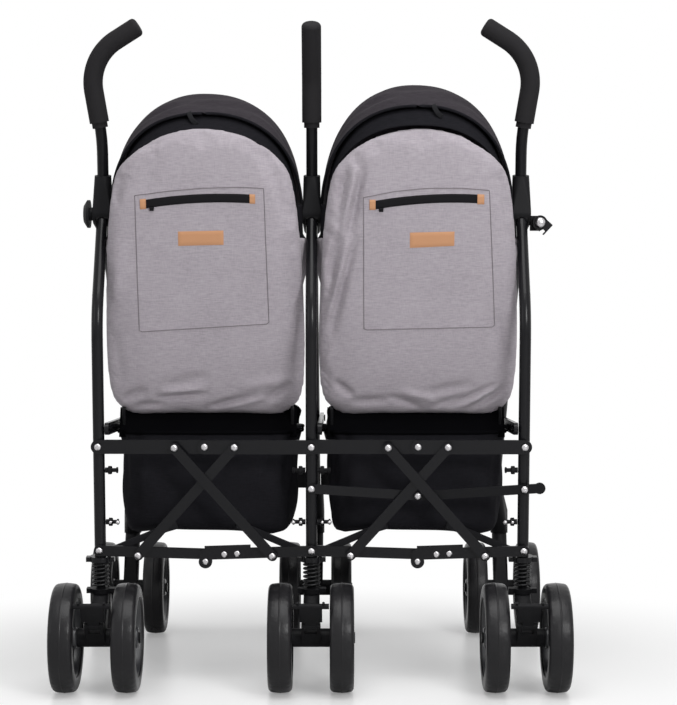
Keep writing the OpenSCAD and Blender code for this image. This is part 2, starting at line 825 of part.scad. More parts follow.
// Flat link with round ends and a rivet hole at its start
module link_outline(length, w) {
  difference() {
    union() {
      circle(d = w);
      translate([length, 0]) circle(d = w);
      translate([0, -w / 2]) square([length, w]);
    }
    circle(d = rivet_d + 2 * pin_gap);
  }
}

// Brace from the main tube back to the rear leg, under the edge of the seat
module seat_rail(side) {
  dir = rail_side(side);
  inner = side * frame_pitch + dir * (rail_in + rail_t / 2);
  color(tube_black) translate([inner, rail_y, rail_z]) rotate([90, 0, -90]) translate([0, 0, -rail_t / 2])
    linear_extrude(height = rail_t) link_outline(rail_len, rail_w);
}

// Draws an outline as a flat link in one layer behind the legs
module in_layer(n) {
  leg_plane() translate([0, layer_y(n), 0]) rotate([90, 0, 0]) linear_extrude(height = bar_t) children();
}

// Rivet carried by a link, through the layers in front of it
module link_rivet(u, v, from, to) {
  depth = layer_y(from) - layer_y(to) + bar_gap;
  leg_plane() translate([u, layer_y(from) - bar_t / 2, v]) rotate([90, 0, 0]) {
    cylinder(h = depth + bar_t / 2 + head_t, d = rivet_d);
    translate([0, 0, depth + bar_t / 2]) cylinder(h = head_t, d = head_d);
    if (to - from > 1) cylinder(h = layer_y(from) - layer_y(to) - bar_t / 2 - bar_gap, d = head_d);
  }
}

// Left leg of each unit, and the direction of a half bar that is fixed to its left or right leg
function unit_x(unit) = unit == LEFT ? -frame_pitch : 0;
function half_x(unit, half) = half == LEFT ? unit_x(unit) : unit_x(unit) + frame_pitch;
function half_turn(half, sag) = half == LEFT ? -sag : 180 + sag;
function half_layer(half) = half == LEFT ? 0 : 1;

// Upper cross bar, one half on each leg
module upper_bar(unit, half) {
  color(tube_black) in_layer(half_layer(half)) translate([half_x(unit, half), -upper_bar_drop])
    rotate(half_turn(half, 0)) link_outline(half_span, upper_bar_w);
}

// Outline of a lower half bar: it rises off the line of its pivots towards the middle, where an ear
// holds the hinge pin, and the right half has a wider lock plate
lower_lift = 11;
lower_waist_share = 0.94;
lock_len = 68;
lock_rise = 4;
lock_ear_d = 20;
module lower_outline(half) {
  waist = lower_bar_w * lower_waist_share;
  difference() {
    union() {
      circle(d = lower_bar_w);
      rotate(-half * atan2(lower_lift, lower_half)) {
        translate([0, -waist / 2]) square([lower_half, waist]);
        translate([lower_half, 0]) circle(d = lower_bar_w);
        if (half == RIGHT) translate([lower_half - lock_len, -lower_bar_w / 2 - lock_rise])
          square([lock_len, lock_rise + lower_bar_w / 2]);
      }
      translate([lower_half, 0]) circle(d = lock_ear_d);
    }
    circle(d = rivet_d + 2 * pin_gap);
  }
}

// Lower cross bar half with the rivet that carries its scissor link
module lower_bar(unit, half) {
  color(tube_black) {
    in_layer(half_layer(half)) translate([half_x(unit, half), -lower_bar_drop])
      rotate(half_turn(half, lower_angle)) lower_outline(half);
    link_rivet(half_x(unit, half) - half * foot_u, foot_v, half_layer(half), half_layer(half) + 2);
  }
}

// Scissor links from the lower bar to the far half of the upper bar
module scissor(unit, half) {
  color(tube_black) in_layer(half_layer(half) + 2)
    translate([half_x(unit, half) - half * foot_u, foot_v])
      rotate(half == LEFT ? scissor_angle : 180 - scissor_angle) link_outline(scissor_len, scissor_w);
}

// Toggle of the right unit: a link on the middle leg and the lever on the right leg
module toggle_link() {
  color(tube_black) in_layer(half_layer(LEFT)) translate([0, -toggle_drop])
    rotate(half_turn(LEFT, toggle_angle)) link_outline(toggle_half, toggle_w);
}

pedal_tail = 17;
module release_lever() {
  color(plastic_black) in_layer(half_layer(RIGHT)) translate([frame_pitch, -toggle_drop])
    rotate(half_turn(RIGHT, toggle_angle)) {
      link_outline(toggle_half, toggle_w);
      translate([-pedal_reach + pedal_tail / 2, -toggle_w / 2])
        square([pedal_reach - pedal_tail / 2 - rivet_d, toggle_w]);
      translate([-pedal_reach + pedal_tail / 2, 0]) circle(d = pedal_tail);
    }
}

// Middle of each seat unit
function unit_mid(unit) = unit * half_span;

// Cushion form: rings that swell from a drawn-in edge to a crown on both faces
pad_around = 36;
pad_rings = 5;
pad_crown_share = 0.45;
// Level in degrees at which a cushion is closed at its crown
pad_top = 84;
function pad_levels() = [for (k = [-pad_rings:pad_rings]) pad_top * k / pad_rings];
function egg(a, half_w, rise, drop, top_share, low_share) =
  [half_w * signed_power(cos(a), sin(a) > 0 ? top_share : low_share),
   (sin(a) > 0 ? rise * signed_power(sin(a), top_share) : drop * signed_power(sin(a), low_share))];

// Backrest: rounded top, nearly straight lower edge, gathered folds near the hem
back_top_share = 0.62;
back_low_share = 0.3;
back_fold = 2.5;
back_folds = 9;
function back_ring(level) = [for (i = [0:pad_around - 1])
  let (a = 360 * i / pad_around,
    p = egg(a, back_half_w, back_rise, back_drop, back_top_share, back_low_share),
    s = pow(cos(level), pad_crown_share),
    hem = pow(max(0, -sin(a)), 4) * s,
    deep = level > 0 ? back_bulge : back_front)
  [p[0] * s, -deep * sin(level) - back_fold * hem * cos(back_folds * a) * max(0, sin(level)),
    back_centre + p[1] * s]];

module backrest(unit) {
  translate([unit_mid(unit), back_y, rail_z]) {
    color(fabric_grey) rotate([back_lean, 0, 0]) translate([0, 0, seat_z - rail_z])
      loft([for (level = pad_levels()) back_ring(level)]);
    color(plastic_black) back_hinge();
  }
}

// Hinge rod between the seat rails, with a lug at each end that is sewn into the backrest
module back_hinge() {
  rotate([0, 90, 0]) cylinder(h = 2 * seat_half_w, d = back_rod_d, center = true);
  for (end = [-1, 1]) rotate([back_lean, 0, 0])
    translate([end * (seat_half_w - back_lug_in) - back_lug_t / 2, -back_rod_d / 2, 0])
      cube([back_lug_t, back_rod_d, seat_z - rail_z + back_lug_sewn]);
}

// Seat cushion, calf flap and foot strap of both units
seat_round_share = 0.28;
seat_pitch_up = 4;
function seat_ring(level) = [for (i = [0:pad_around - 1])
  let (p = egg(360 * i / pad_around, seat_half_w, seat_depth / 2, seat_depth / 2,
      seat_round_share, seat_round_share),
    s = pow(cos(level), pad_crown_share))
  [p[0] * s, p[1] * s, seat_t / 2 * sin(level)]];

flap_top_y = back_y + seat_back_gap + seat_depth - flap_sewn;
flap_top_z = seat_mid_z + seat_depth / 2 * sin(seat_pitch_up);
flap_len = norm([strap_y - flap_top_y, flap_top_z - strap_z]);
flap_slope = atan2(strap_y - flap_top_y, flap_top_z - strap_z);
flap_around = 24;
flap_levels = [-75, -40, 0, 40, 75];
function flap_ring(level) = [for (i = [0:flap_around - 1])
  let (p = egg(360 * i / flap_around, flap_half_w, flap_len / 2, flap_len / 2,
      seat_round_share, seat_round_share),
    s = pow(cos(level), pad_crown_share))
  [p[0] * s, p[1] * s, flap_t / 2 * sin(level)]];

module seat_slings() {
  for (unit = twins) translate([unit_mid(unit), 0, 0]) {
    color(fabric_grey) translate([0, back_y + seat_back_gap + seat_depth / 2, seat_mid_z])
      rotate([seat_pitch_up, 0, 0]) loft([for (level = pad_levels()) seat_ring(level)]);
    color(fabric_black) translate([0, (flap_top_y + strap_y) / 2, (flap_top_z + strap_z) / 2])
      rotate([flap_slope - 90, 0, 0]) loft([for (level = flap_levels) flap_ring(level)]);
    color(fabric_black) foot_strap();
  }
}

module foot_strap() {
  reach = half_span - tube_r - seat_gap;
  translate([0, strap_y, strap_z]) rotate([main_slope, 0, 0]) translate([-reach, -strap_t / 2, -strap_w / 2])
    cube([2 * reach, strap_t, strap_w]);
}

// Thin shell between two grids of points
module shell(outer, inner) {
  m = len(outer);
  n = len(outer[0]);
  points = concat([for (r = outer) for (p = r) p], [for (r = inner) for (p = r) p]);
  under = m * n;
  skin = [for (j = [0:m - 2]) for (i = [0:n - 2]) let (a = j * n + i)
    each [[a, a + n, a + 1], [a + 1, a + n, a + n + 1]]];
  lining = [for (f = skin) [f[2] + under, f[1] + under, f[0] + under]];
  rim = concat([for (i = [0:n - 2]) i], [for (j = [0:m - 2]) j * n + n - 1],
    [for (i = [n - 1:-1:1]) (m - 1) * n + i], [for (j = [m - 1:-1:1]) j * n]);
  edges = [for (k = [0:len(rim) - 1]) let (a = rim[k], b = rim[(k + 1) % len(rim)])
    each [[a, b, a + under], [b, b + under, a + under]]];
  polyhedron(points = points, faces = concat(skin, lining, edges), convexity = 8);
}

// Hood: a bowed shell that swings about the leg hinge axis, with a hub at each end
hood_front = 8;
hood_rear = 112;
hood_steps = 11;
hood_around = 18;
hood_arch_share = 0.88;
hood_edge = 3;
hood_reach_shares = [[hood_front, 1.16], [45, 1.11], [90, 1.0], [hood_rear, 0.9]];
function hood_point(r, w, turn, arch) =
  let (h = r * pow(sin(arch), hood_arch_share))
  [w * signed_power(cos(arch), hood_arch_share), h * cos(turn), h * sin(turn)];
function hood_grid(r, w) = [for (j = [0:hood_steps])
  let (turn = hood_front + (hood_rear - hood_front) * j / hood_steps, reach = lookup(turn, hood_reach_shares))
  [for (i = [0:hood_around])
    hood_point(r * reach - hood_half_w + w, w, turn, hood_edge + (180 - 2 * hood_edge) * i / hood_around)]];

module hood(unit) {
  r = unit == LEFT ? left_hood_r : right_hood_r;
  color(fabric_black) translate([unit_mid(unit), joint_y, joint_z]) {
    shell(hood_grid(r, hood_half_w - hood_hub_t), hood_grid(r, hood_half_w - hood_hub_t - hood_t));
    for (end = [-1, 1]) translate([end * (hood_half_w - hood_hub_t / 2), 0, 0]) rotate([0, 90, 0])
      cylinder(h = hood_hub_t, r = hood_hub_r, center = true);
  }
}

// Basket: an open bag with a sagging floor, hung from the seat rails
basket_around = 32;
basket_round_share = 0.42;
basket_level_shares = [[0, 0.72], [0.05, 0.9], [0.16, 0.97], [0.5, 1], [1, 1]];
basket_foot = basket_top - basket_rim - basket_deep;
function basket_ring(level, inset) = [for (i = [0:basket_around - 1])
  let (a = 360 * i / basket_around, s = level[1])
  [(basket_half_w * s - inset) * signed_power(cos(a), basket_round_share),
   (basket_len / 2 * s - inset) * signed_power(sin(a), basket_round_share),
   basket_foot + basket_deep * level[0]]];
// Rim of the basket, drawn out to the seat rails
function basket_rim_ring(inset) = [for (i = [0:basket_around - 1])
  let (a = 360 * i / basket_around)
  [(seat_half_w - inset) * signed_power(cos(a), basket_round_share),
   (basket_len / 2 - inset) * signed_power(sin(a), basket_round_share), basket_top]];
function raised(ring, rise) = [for (p = ring) p + [0, 0, rise]];

module baskets() {
  levels = basket_level_shares;
  top = len(levels) - 1;
  for (unit = twins) translate([unit_mid(unit), basket_y, 0]) color(fabric_black) {
    loft(concat(
      [for (level = levels) basket_ring(level, 0)],
      [basket_rim_ring(0), basket_rim_ring(basket_wall), basket_ring(levels[top], basket_wall)],
      [for (k = [top - 1:-1:0]) raised(basket_ring(levels[k], basket_wall), basket_wall)]));
  }
}

// Every piece is drawn by its node's name
for (i = [0:len(sides) - 1]) {
  side = sides[i];
  name = side_names[i];
  main_tube(side);
  grip(side);
  frame_mouldings(side);
  rear_leg(side);
  wheel_carrier(side);
  spring(side);
  brake_pedal(side);
  caster_fork(side);
  seat_rail(side);
  for (k = [0:len(twins) - 1]) {
    rear_wheel(side, twins[k]);
    front_wheel(side, twins[k]);
  }
}
for (k = [0:len(twins) - 1]) {
  unit = twins[k];
  name = unit_names[k];
  upper_bar(unit, LEFT);
  upper_bar(unit, RIGHT);
  lower_bar(unit, LEFT);
  lower_bar(unit, RIGHT);
  scissor(unit, LEFT);
  scissor(unit, RIGHT);
  backrest(unit);
  hood(unit);
}
transport_hook();
toggle_link();
release_lever();
seat_slings();
baskets();
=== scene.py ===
# %% [markdown]
# # A side by side double stroller, dressed
#
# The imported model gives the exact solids: tubes, legs, cross bars, mouldings. This lesson adds what a
# solid modeller leaves out: cloth, foam, rubber, leather, stitching and rivets. Every new piece is a
# surface worked out with numpy, in metres, in the same frame as the solids: +Z is up, +Y is the way the
# stroller travels and +X is the pusher's right.

import bpy
import bmesh
import numpy as np
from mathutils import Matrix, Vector


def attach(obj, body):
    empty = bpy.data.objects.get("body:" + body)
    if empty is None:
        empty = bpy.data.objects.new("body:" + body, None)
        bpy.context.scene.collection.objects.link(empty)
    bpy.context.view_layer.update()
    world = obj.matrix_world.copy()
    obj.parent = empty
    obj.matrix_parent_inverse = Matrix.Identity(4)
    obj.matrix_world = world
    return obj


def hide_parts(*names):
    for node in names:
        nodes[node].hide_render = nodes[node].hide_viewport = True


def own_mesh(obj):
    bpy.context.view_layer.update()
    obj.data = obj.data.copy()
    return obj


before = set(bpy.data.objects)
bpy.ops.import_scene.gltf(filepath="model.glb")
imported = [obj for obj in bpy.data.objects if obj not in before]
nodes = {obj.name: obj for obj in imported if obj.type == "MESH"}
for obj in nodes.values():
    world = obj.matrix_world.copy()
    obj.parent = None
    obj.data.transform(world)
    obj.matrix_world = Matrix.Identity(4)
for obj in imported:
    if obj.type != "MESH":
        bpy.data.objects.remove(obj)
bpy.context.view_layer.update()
mm = 0.001

# %% [markdown]
# ## Camera
#
# The photograph was taken from behind with a long lens, level with the seats. The place and the focal
# length were found from the wheels and the rivets, whose real distances are known. The horizon lies a
# little above the middle of the picture, so the lens is shifted down by that much.

# %% Camera
PICTURE_WIDE, PICTURE_HIGH = 677, 705
FOCAL_PIXELS, HORIZON_ROW = 1979.0, 340.0
CAMERA_X, CAMERA_Y, CAMERA_Z = 0.040, -3.194, 0.516
SENSOR = 36.0
camera = bpy.data.objects.new("camera", bpy.data.cameras.new("camera"))
camera.location = (CAMERA_X, CAMERA_Y, CAMERA_Z)
camera.rotation_euler = (np.pi / 2, 0, 0)
camera.data.sensor_width = SENSOR
camera.data.lens = FOCAL_PIXELS * SENSOR / PICTURE_HIGH
camera.data.shift_y = (HORIZON_ROW - PICTURE_HIGH / 2) / PICTURE_HIGH
camera.data.clip_end = 60
bpy.context.scene.collection.objects.link(camera)
bpy.context.scene.camera = camera
print("lens", round(camera.data.lens, 2), "mm")

# %% [markdown]
# ## Surfaces from arrays
#
# A sheet, a strap or a tyre is a function of two parameters. Its points are worked out for a whole grid
# at once, and neighbouring grid points become the corners of four-sided faces. Where the grid closes on
# itself, the last row is joined to the first. Many small equal shapes, such as rivets, are one mesh with
# one grid each.

# %% Grids to meshes
WELD = 1e-6


def grid_faces(rows, cols, wrap_rows=False, wrap_cols=False):
    """Corner numbers of the faces between neighbouring points of a grid of rows by cols points."""
    i = np.arange(rows if wrap_rows else rows - 1)[:, None]
    j = np.arange(cols if wrap_cols else cols - 1)[None, :]
    below, beside = (i + 1) % rows, (j + 1) % cols
    corners = [i * cols + j, i * cols + beside, below * cols + beside, below * cols + j]
    return np.stack(corners, -1).reshape(-1, 4)


def mesh_piece(name, points, faces, material, body, weld=True):
    """A mesh object at the origin that rides on a body. weld merges points that fall together."""
    mesh = bpy.data.meshes.new(name)
    mesh.from_pydata(np.reshape(points, (-1, 3)).tolist(), [], faces.tolist())
    if weld:
        shape = bmesh.new()
        shape.from_mesh(mesh)
        bmesh.ops.remove_doubles(shape, verts=shape.verts, dist=WELD)
        bmesh.ops.recalc_face_normals(shape, faces=shape.faces)
        shape.to_mesh(mesh)
        shape.free()
    mesh.shade_smooth()
    mesh.materials.append(material)
    piece = bpy.data.objects.new(name, mesh)
    bpy.context.scene.collection.objects.link(piece)
    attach(piece, body)
    return piece


def grid_piece(name, points, material, body, wrap_rows=False, wrap_cols=False, order=1):
    """A piece from a grid of points, welded where it closes on itself. order -1 turns the faces over."""
    faces = grid_faces(*points.shape[:2], wrap_rows, wrap_cols)[:, ::order]
    return mesh_piece(name, points, faces, material, body, weld=wrap_rows or wrap_cols)


def thicken(sheet, thick=1.2 * mm):
    """Gives a sheet a thickness, away from the side that its faces look to."""
    wall = sheet.modifiers.new("wall", "SOLIDIFY")
    wall.thickness, wall.offset = thick, -1


print("pieces are welded at", WELD, "m")


# %% Curves and profiles
def normed(vectors):
    """Vectors scaled to length one."""
    vectors = np.asarray(vectors, float)
    return vectors / np.maximum(np.linalg.norm(vectors, axis=-1, keepdims=True), 1e-12)


def signed_power(values, exponent):
    """Power of the size that keeps the sign: it turns an ellipse into a rounded rectangle."""
    return np.sign(values) * np.abs(values) ** exponent


def full_turn(count):
    """Equal angles round a full turn."""
    return np.linspace(0, 2 * np.pi, count, endpoint=False)


def tilted(points, turn, centre):
    """Turns points about the X axis and moves them to a centre."""
    c, s = np.cos(turn), np.sin(turn)
    x, y, z = points[..., 0], points[..., 1], points[..., 2]
    return np.stack([x, y * c - z * s, y * s + z * c], -1) + np.asarray(centre)


def band_profile(width, thick, count=16):
    """Outline of a flat band with rounded edges: a rectangle written as a superellipse."""
    a = full_turn(count)
    return np.stack([width / 2 * signed_power(np.cos(a), 0.4), thick / 2 * signed_power(np.sin(a), 0.6)], -1)


def round_profile(radius, count=12):
    """Outline of a round cord."""
    a = full_turn(count)
    return radius * np.stack([np.cos(a), np.sin(a)], -1)


def swept(path, side, profile):
    """A flat profile carried along a path: each profile point moves along the side vector and the normal
    that stands on both the side vector and the path's direction. Returns a grid of path by profile points."""
    along = normed(np.gradient(path, axis=0))
    side = np.broadcast_to(np.asarray(side, float), path.shape)
    side = normed(side - (side * along).sum(-1, keepdims=True) * along)
    normal = np.cross(along, side)
    across, up = profile[:, 0], profile[:, 1]
    return path[:, None] + side[:, None] * across[None, :, None] + normal[:, None] * up[None, :, None]


def sweep_piece(name, path, side, profile, material, body, closed=False):
    """A strap or cord: a profile swept along a path, with both ends drawn to a point unless it is closed."""
    points = swept(path, side, profile)
    if not closed:
        ends = points[[0, -1]].mean(1, keepdims=True).repeat(len(profile), 1)
        points = np.concatenate([ends[:1], points, ends[1:]])
    return grid_piece(name, points, material, body, wrap_rows=closed, wrap_cols=True)


def smooth_path(corners, count=48):
    """A smooth curve through corner points: a Catmull-Rom spline with equal steps."""
    p = np.asarray(corners, float)
    p = np.concatenate([2 * p[:1] - p[1:2], p, 2 * p[-1:] - p[-2:-1]])
    s = np.linspace(0, len(p) - 3, count)
    k = np.minimum(s.astype(int), len(p) - 4)
    f = (s - k)[:, None]
    a, b, c, d = p[k], p[k + 1], p[k + 2], p[k + 3]
    return 0.5 * (2 * b + (c - a) * f + (2 * a - 5 * b + 4 * c - d) * f**2 + (3 * b - 3 * c + d - a) * f**3)


print("curve tools ready")

# %% [markdown]
# ## Shared effects
#
# Three effects come back in many finishes, so each is a node group. *Heather weave* mixes two yarn colours
# in short streaks and gives the height of a plain weave. *Fine grain* is the pebbled skin of moulded
# plastic, foam and leather. *Handling dust* breaks up the roughness a little, as on anything that is used.


# %% Nodes
def set_inputs(tree, node, inputs):
    """Fills inputs of a node, by name or number: outputs of other nodes are linked, other values are set."""
    for label, value in inputs.items():
        if isinstance(value, bpy.types.NodeSocket):
            tree.links.new(value, node.inputs[label])
        else:
            node.inputs[label].default_value = value


def add_node(tree, kind, inputs=None, **settings):
    """A new shader node with its settings and inputs."""
    node = tree.nodes.new(f"ShaderNode{kind}")
    for label, value in settings.items():
        setattr(node, label, value)
    set_inputs(tree, node, inputs or {})
    return node


def math_node(tree, operation, a, b):
    """The output of a maths node whose inputs are numbers or sockets."""
    return add_node(tree, "Math", {0: a, 1: b}, operation=operation).outputs[0]


def noise_node(tree, vector, scale, detail=2.0, stretch=(1, 1, 1)):
    """The output of a noise whose coordinates are stretched by a Mapping node."""
    place = add_node(tree, "Mapping", {"Vector": vector, "Scale": stretch}).outputs["Vector"]
    return add_node(tree, "TexNoise", {"Vector": place, "Scale": scale, "Detail": detail}).outputs[0]


def wave_node(tree, vector, direction, scale):
    """The output of slightly wavering stripes across one axis."""
    inputs = {"Vector": vector, "Scale": scale, "Distortion": 0.6}
    return add_node(tree, "TexWave", inputs, bands_direction=direction).outputs["Fac"]


print("node tools ready")


# %% Node groups
def effect_group(name, inputs, outputs):
    """A shader node group with named sockets: the group, its input node, its output node and a socket with
    Object coordinates. The kind of an input follows from its default: a colour or a number."""
    group = bpy.data.node_groups.new(name, "ShaderNodeTree")
    for label, value in inputs.items():
        kind = "NodeSocketFloat" if isinstance(value, float) else "NodeSocketColor"
        group.interface.new_socket(label, in_out="INPUT", socket_type=kind).default_value = value
    for label, kind in outputs.items():
        group.interface.new_socket(label, in_out="OUTPUT", socket_type=f"NodeSocket{kind}")
    into, out = group.nodes.new("NodeGroupInput"), group.nodes.new("NodeGroupOutput")
    return group, into.outputs, out, add_node(group, "TexCoord").outputs["Object"]


def make_weave(yarn=90.0, thread=260.0):
    """Heather weave: streaks along both yarn directions, with soft clouds, choose between two colours."""
    group, into, out, place = effect_group(
        "heather_weave", {"Light Yarn": (0.4, 0.4, 0.4, 1), "Dark Yarn": (0.2, 0.2, 0.2, 1)},
        {"Color": "Color", "Height": "Float"})
    weft = math_node(group, "MULTIPLY", noise_node(group, place, yarn, 3.0, (1.0, 1.0, 9.0)), 0.55)
    warp = math_node(group, "MULTIPLY", noise_node(group, place, yarn, 3.0, (9.0, 4.0, 1.0)), 0.3)
    cloud = math_node(group, "MULTIPLY", noise_node(group, place, 14.0, 4.0), 0.15)
    share = math_node(group, "ADD", math_node(group, "ADD", weft, warp), cloud)
    spread = add_node(group, "MapRange", {"Value": share, "From Min": 0.36, "From Max": 0.64})
    # Inputs 6 and 7 and output 2 of a Mix node are the ones for colours.
    yarns = {"Factor": spread.outputs["Result"], 6: into["Light Yarn"], 7: into["Dark Yarn"]}
    colour = add_node(group, "Mix", yarns, data_type="RGBA").outputs[2]
    across, upright = wave_node(group, place, "X", thread), wave_node(group, place, "Z", thread)
    set_inputs(group, out, {"Color": colour, "Height": math_node(group, "MULTIPLY", across, upright)})
    return group


def make_grain():
    """Fine grain: small noise as a height."""
    group, into, out, place = effect_group("fine_grain", {"Scale": 800.0}, {"Height": "Float"})
    set_inputs(group, out, {"Height": noise_node(group, place, into["Scale"], 4.0)})
    return group


def make_dust():
    """Handling dust: a roughness that wanders round a middle value in soft patches."""
    group, into, out, place = effect_group(
        "handling_dust", {"Middle": 0.5, "Swing": 0.1}, {"Roughness": "Float"})
    patch = math_node(group, "SUBTRACT", noise_node(group, place, 22.0, 5.0), 0.5)
    swing = math_node(group, "MULTIPLY", patch, into["Swing"])
    set_inputs(group, out, {"Roughness": math_node(group, "ADD", swing, into["Middle"])})
    return group


weave_group, grain_group, dust_group = make_weave(), make_grain(), make_dust()
print("groups:", [g.name for g in bpy.data.node_groups])

# %% [markdown]
# ## Finishes
#
# The tubes are steel with a smooth black powder coat that still shows a bright streak of the lamps. The
# mouldings are duller, the grips are soft foam and the tyres are closed-cell foam with a skin. The seats
# are a grey heather cloth, and hoods and baskets a plain black one. Tan leather sits on the pockets.


# %% Finishes
def finish_of(name, colour, rough, swing=0.1, grain=None, bump=0.0, metallic=0.0, sheen=0.0, weave=None,
              shine=0.5):
    """A Principled finish: colour or two-yarn weave, wandering roughness, and grain or weave as bump."""
    material = bpy.data.materials.new(name)
    material.use_nodes = True
    tree = material.node_tree
    shader = tree.nodes["Principled BSDF"]
    dust = add_node(tree, "Group", {"Middle": rough, "Swing": swing}, node_tree=dust_group)
    set_inputs(tree, shader, {
        "Base Color": (*colour, 1), "Metallic": metallic, "Sheen Weight": sheen, "Specular IOR Level": shine,
        "Roughness": dust.outputs["Roughness"]})
    height = None
    if weave:
        yarns = {"Light Yarn": (*weave[0], 1), "Dark Yarn": (*weave[1], 1)}
        cloth = add_node(tree, "Group", yarns, node_tree=weave_group)
        set_inputs(tree, shader, {"Base Color": cloth.outputs["Color"]})
        height = cloth.outputs["Height"]
    if grain:
        height = add_node(tree, "Group", {"Scale": grain}, node_tree=grain_group).outputs["Height"]
    if height:
        relief = add_node(tree, "Bump", {"Height": height, "Strength": bump, "Distance": 1 * mm})
        set_inputs(tree, shader, {"Normal": relief.outputs["Normal"]})
    return material


powder_coat = finish_of("powder_coat", (0.007, 0.007, 0.0082), 0.22, shine=0.16)
moulded_black = finish_of(
    "moulded_black", (0.0082, 0.0082, 0.0092), 0.46, 0.15, grain=900.0, bump=0.12, shine=0.08)
foam_black = finish_of("foam_black", (0.018, 0.0172, 0.0185), 0.74, grain=1400.0, bump=0.25, shine=0.07)
spring_steel = finish_of("spring_steel", (0.012, 0.012, 0.013), 0.4, shine=0.25)
tyre_foam = finish_of("tyre_foam", (0.0095, 0.0092, 0.0103), 0.33, 0.3, grain=420.0, bump=0.22, shine=0.2)
rim_plastic = finish_of("rim_plastic", (0.03, 0.031, 0.034), 0.36)
rivet_metal = finish_of("rivet_metal", (0.5, 0.49, 0.5), 0.3, metallic=1.0)
heather = finish_of(
    "grey_heather", (0.33, 0.3, 0.33), 0.9, 0.06, bump=0.25, sheen=0.1, shine=0.3,
    weave=((0.385, 0.352, 0.385), (0.285, 0.258, 0.285)))
hood_cloth = finish_of(
    "hood_cloth", (0.03, 0.028, 0.031), 0.85, 0.08, bump=0.3, sheen=0.02, shine=0.06,
    weave=((0.038, 0.033, 0.039), (0.024, 0.021, 0.025)))
black_cloth = finish_of(
    "black_cloth", (0.009, 0.009, 0.0105), 0.88, 0.08, bump=0.3, shine=0.03,
    weave=((0.0135, 0.013, 0.0158), (0.009, 0.009, 0.0108)))
# Painted shade: a darker copy of the black cloth, for the cushion, bag hem and gap sheet that lie in the
# shade under the backrests.
painted_shade_black = finish_of("painted_shade_black", (0.003, 0.003, 0.0036), 0.9, 0.08, grain=600.0, bump=0.3, shine=0.0)
webbing = finish_of("webbing", (0.011, 0.011, 0.0125), 0.8, 0.08, grain=600.0, bump=0.3, shine=0.1)
leather = finish_of("tan_leather", (0.46, 0.232, 0.117), 0.55, 0.15, grain=450.0, bump=0.2, shine=0.35)
zip_tape = finish_of("zip_tape", (0.008, 0.0075, 0.0088), 0.62, grain=700.0, bump=0.4, shine=0.07)
thread = finish_of("dark_thread", (0.17, 0.152, 0.165), 0.85, 0.05, shine=0.1)
print("finishes:", len(bpy.data.materials))

# %% Finishes on the solids
SIDES = {"left": -1, "centre": 0, "right": 1}
TWINS = {"left": -1, "right": 1}
LINKS = ("upper_bar_left", "upper_bar_right", "lower_bar_left", "lower_bar_right", "scissor_rising",
         "scissor_falling")


def dress(material, prefix, *names):
    """Gives solids their finish, in place of the plain one that they came with."""
    for name in names:
        slots = nodes[prefix + name].data.materials
        slots.clear()
        slots.append(material)


for side in SIDES:
    dress(powder_coat, f"{side}_", "main_tube", "rear_leg", "seat_rail")
    dress(moulded_black, f"{side}_", "frame_mouldings", "wheel_carrier", "brake_pedal", "caster_fork")
    dress(foam_black, f"{side}_", "grip")
for unit in TWINS:
    dress(powder_coat, f"{unit}_", *LINKS)
dress(powder_coat, "", "toggle_link")
dress(moulded_black, "", "release_lever", "transport_hook")
print("solids dressed")

# %% [markdown]
# ## Wheels
#
# Each of the twelve wheels is a closed-cell foam tyre on a plastic rim. The tyre is a profile turned about
# the axle: a slightly crowned tread with a fine mould line and round shoulders. Shallow notches across the
# shoulders are a radius that dips a little at equal angles. The rim is a second profile with windows, which
# are left out of the grid between the spokes.

# %% Tyres
FRAME_PITCH, CASTER_SPLAY, TWIN_TRACK = 314 * mm, 12 * mm, 90 * mm
REAR_AXLE_Y, FRONT_AXLE_Y, WHEEL_R, TYRE_W = -295 * mm, 295 * mm, 80 * mm, 35 * mm
RIM_R, SHOULDER, CROWN_DROP, MOULD_LINE = 58 * mm, 7 * mm, 0.9 * mm, 0.35 * mm
NOTCHES, NOTCH_DEEP, NOTCH_EASE = 40, 0.4 * mm, 2 * mm
NOTCH_FROM, NOTCH_TO = 9 * mm, TYRE_W / 2 - 1.5 * mm
TYRE_STEPS = 160


def turned(profile, centre, count, radius_change=None):
    """A profile of (radius, distance along X) turned about an axle along X through centre. radius_change
    gives a further radius for each angle and profile point."""
    a = full_turn(count)[:, None]
    r, x = profile[None, :, 0], profile[None, :, 1]
    if radius_change:
        r = r + radius_change(a, x)
    return np.stack(np.broadcast_arrays(x, r * np.cos(a), r * np.sin(a)), -1) + np.asarray(centre)


def tyre_profile():
    """Closed section of a tyre: round shoulders, a crowned tread with a fine mould line, and the bead."""
    half = TYRE_W / 2
    a = np.linspace(0, np.pi / 2, 7)
    edge = WHEEL_R - MOULD_LINE - CROWN_DROP - SHOULDER
    left = np.stack([edge + SHOULDER * np.sin(a), -half + SHOULDER - SHOULDER * np.cos(a)], -1)
    share = np.array([0.8, 0.6, 0.4, 0.2, 0.09])
    tread = np.stack([WHEEL_R - MOULD_LINE - CROWN_DROP * share**2, -(half - SHOULDER) * share], -1)
    line = np.array([[WHEEL_R - 0.1 * mm, -0.6 * mm], [WHEEL_R, -0.2 * mm]])
    crown = np.concatenate([left, tread, line])
    crown = np.concatenate([crown, (crown * [1, -1])[::-1]])
    bead = np.array([[RIM_R + 0.2 * mm, half - 1 * mm], [RIM_R + 0.2 * mm, -half + 1 * mm]])
    sidewall = np.array([[RIM_R + 1.2 * mm, half], [RIM_R + 7 * mm, half + 0.2 * mm]])
    return np.concatenate([crown, sidewall[::-1], bead, sidewall * [1, -1]])


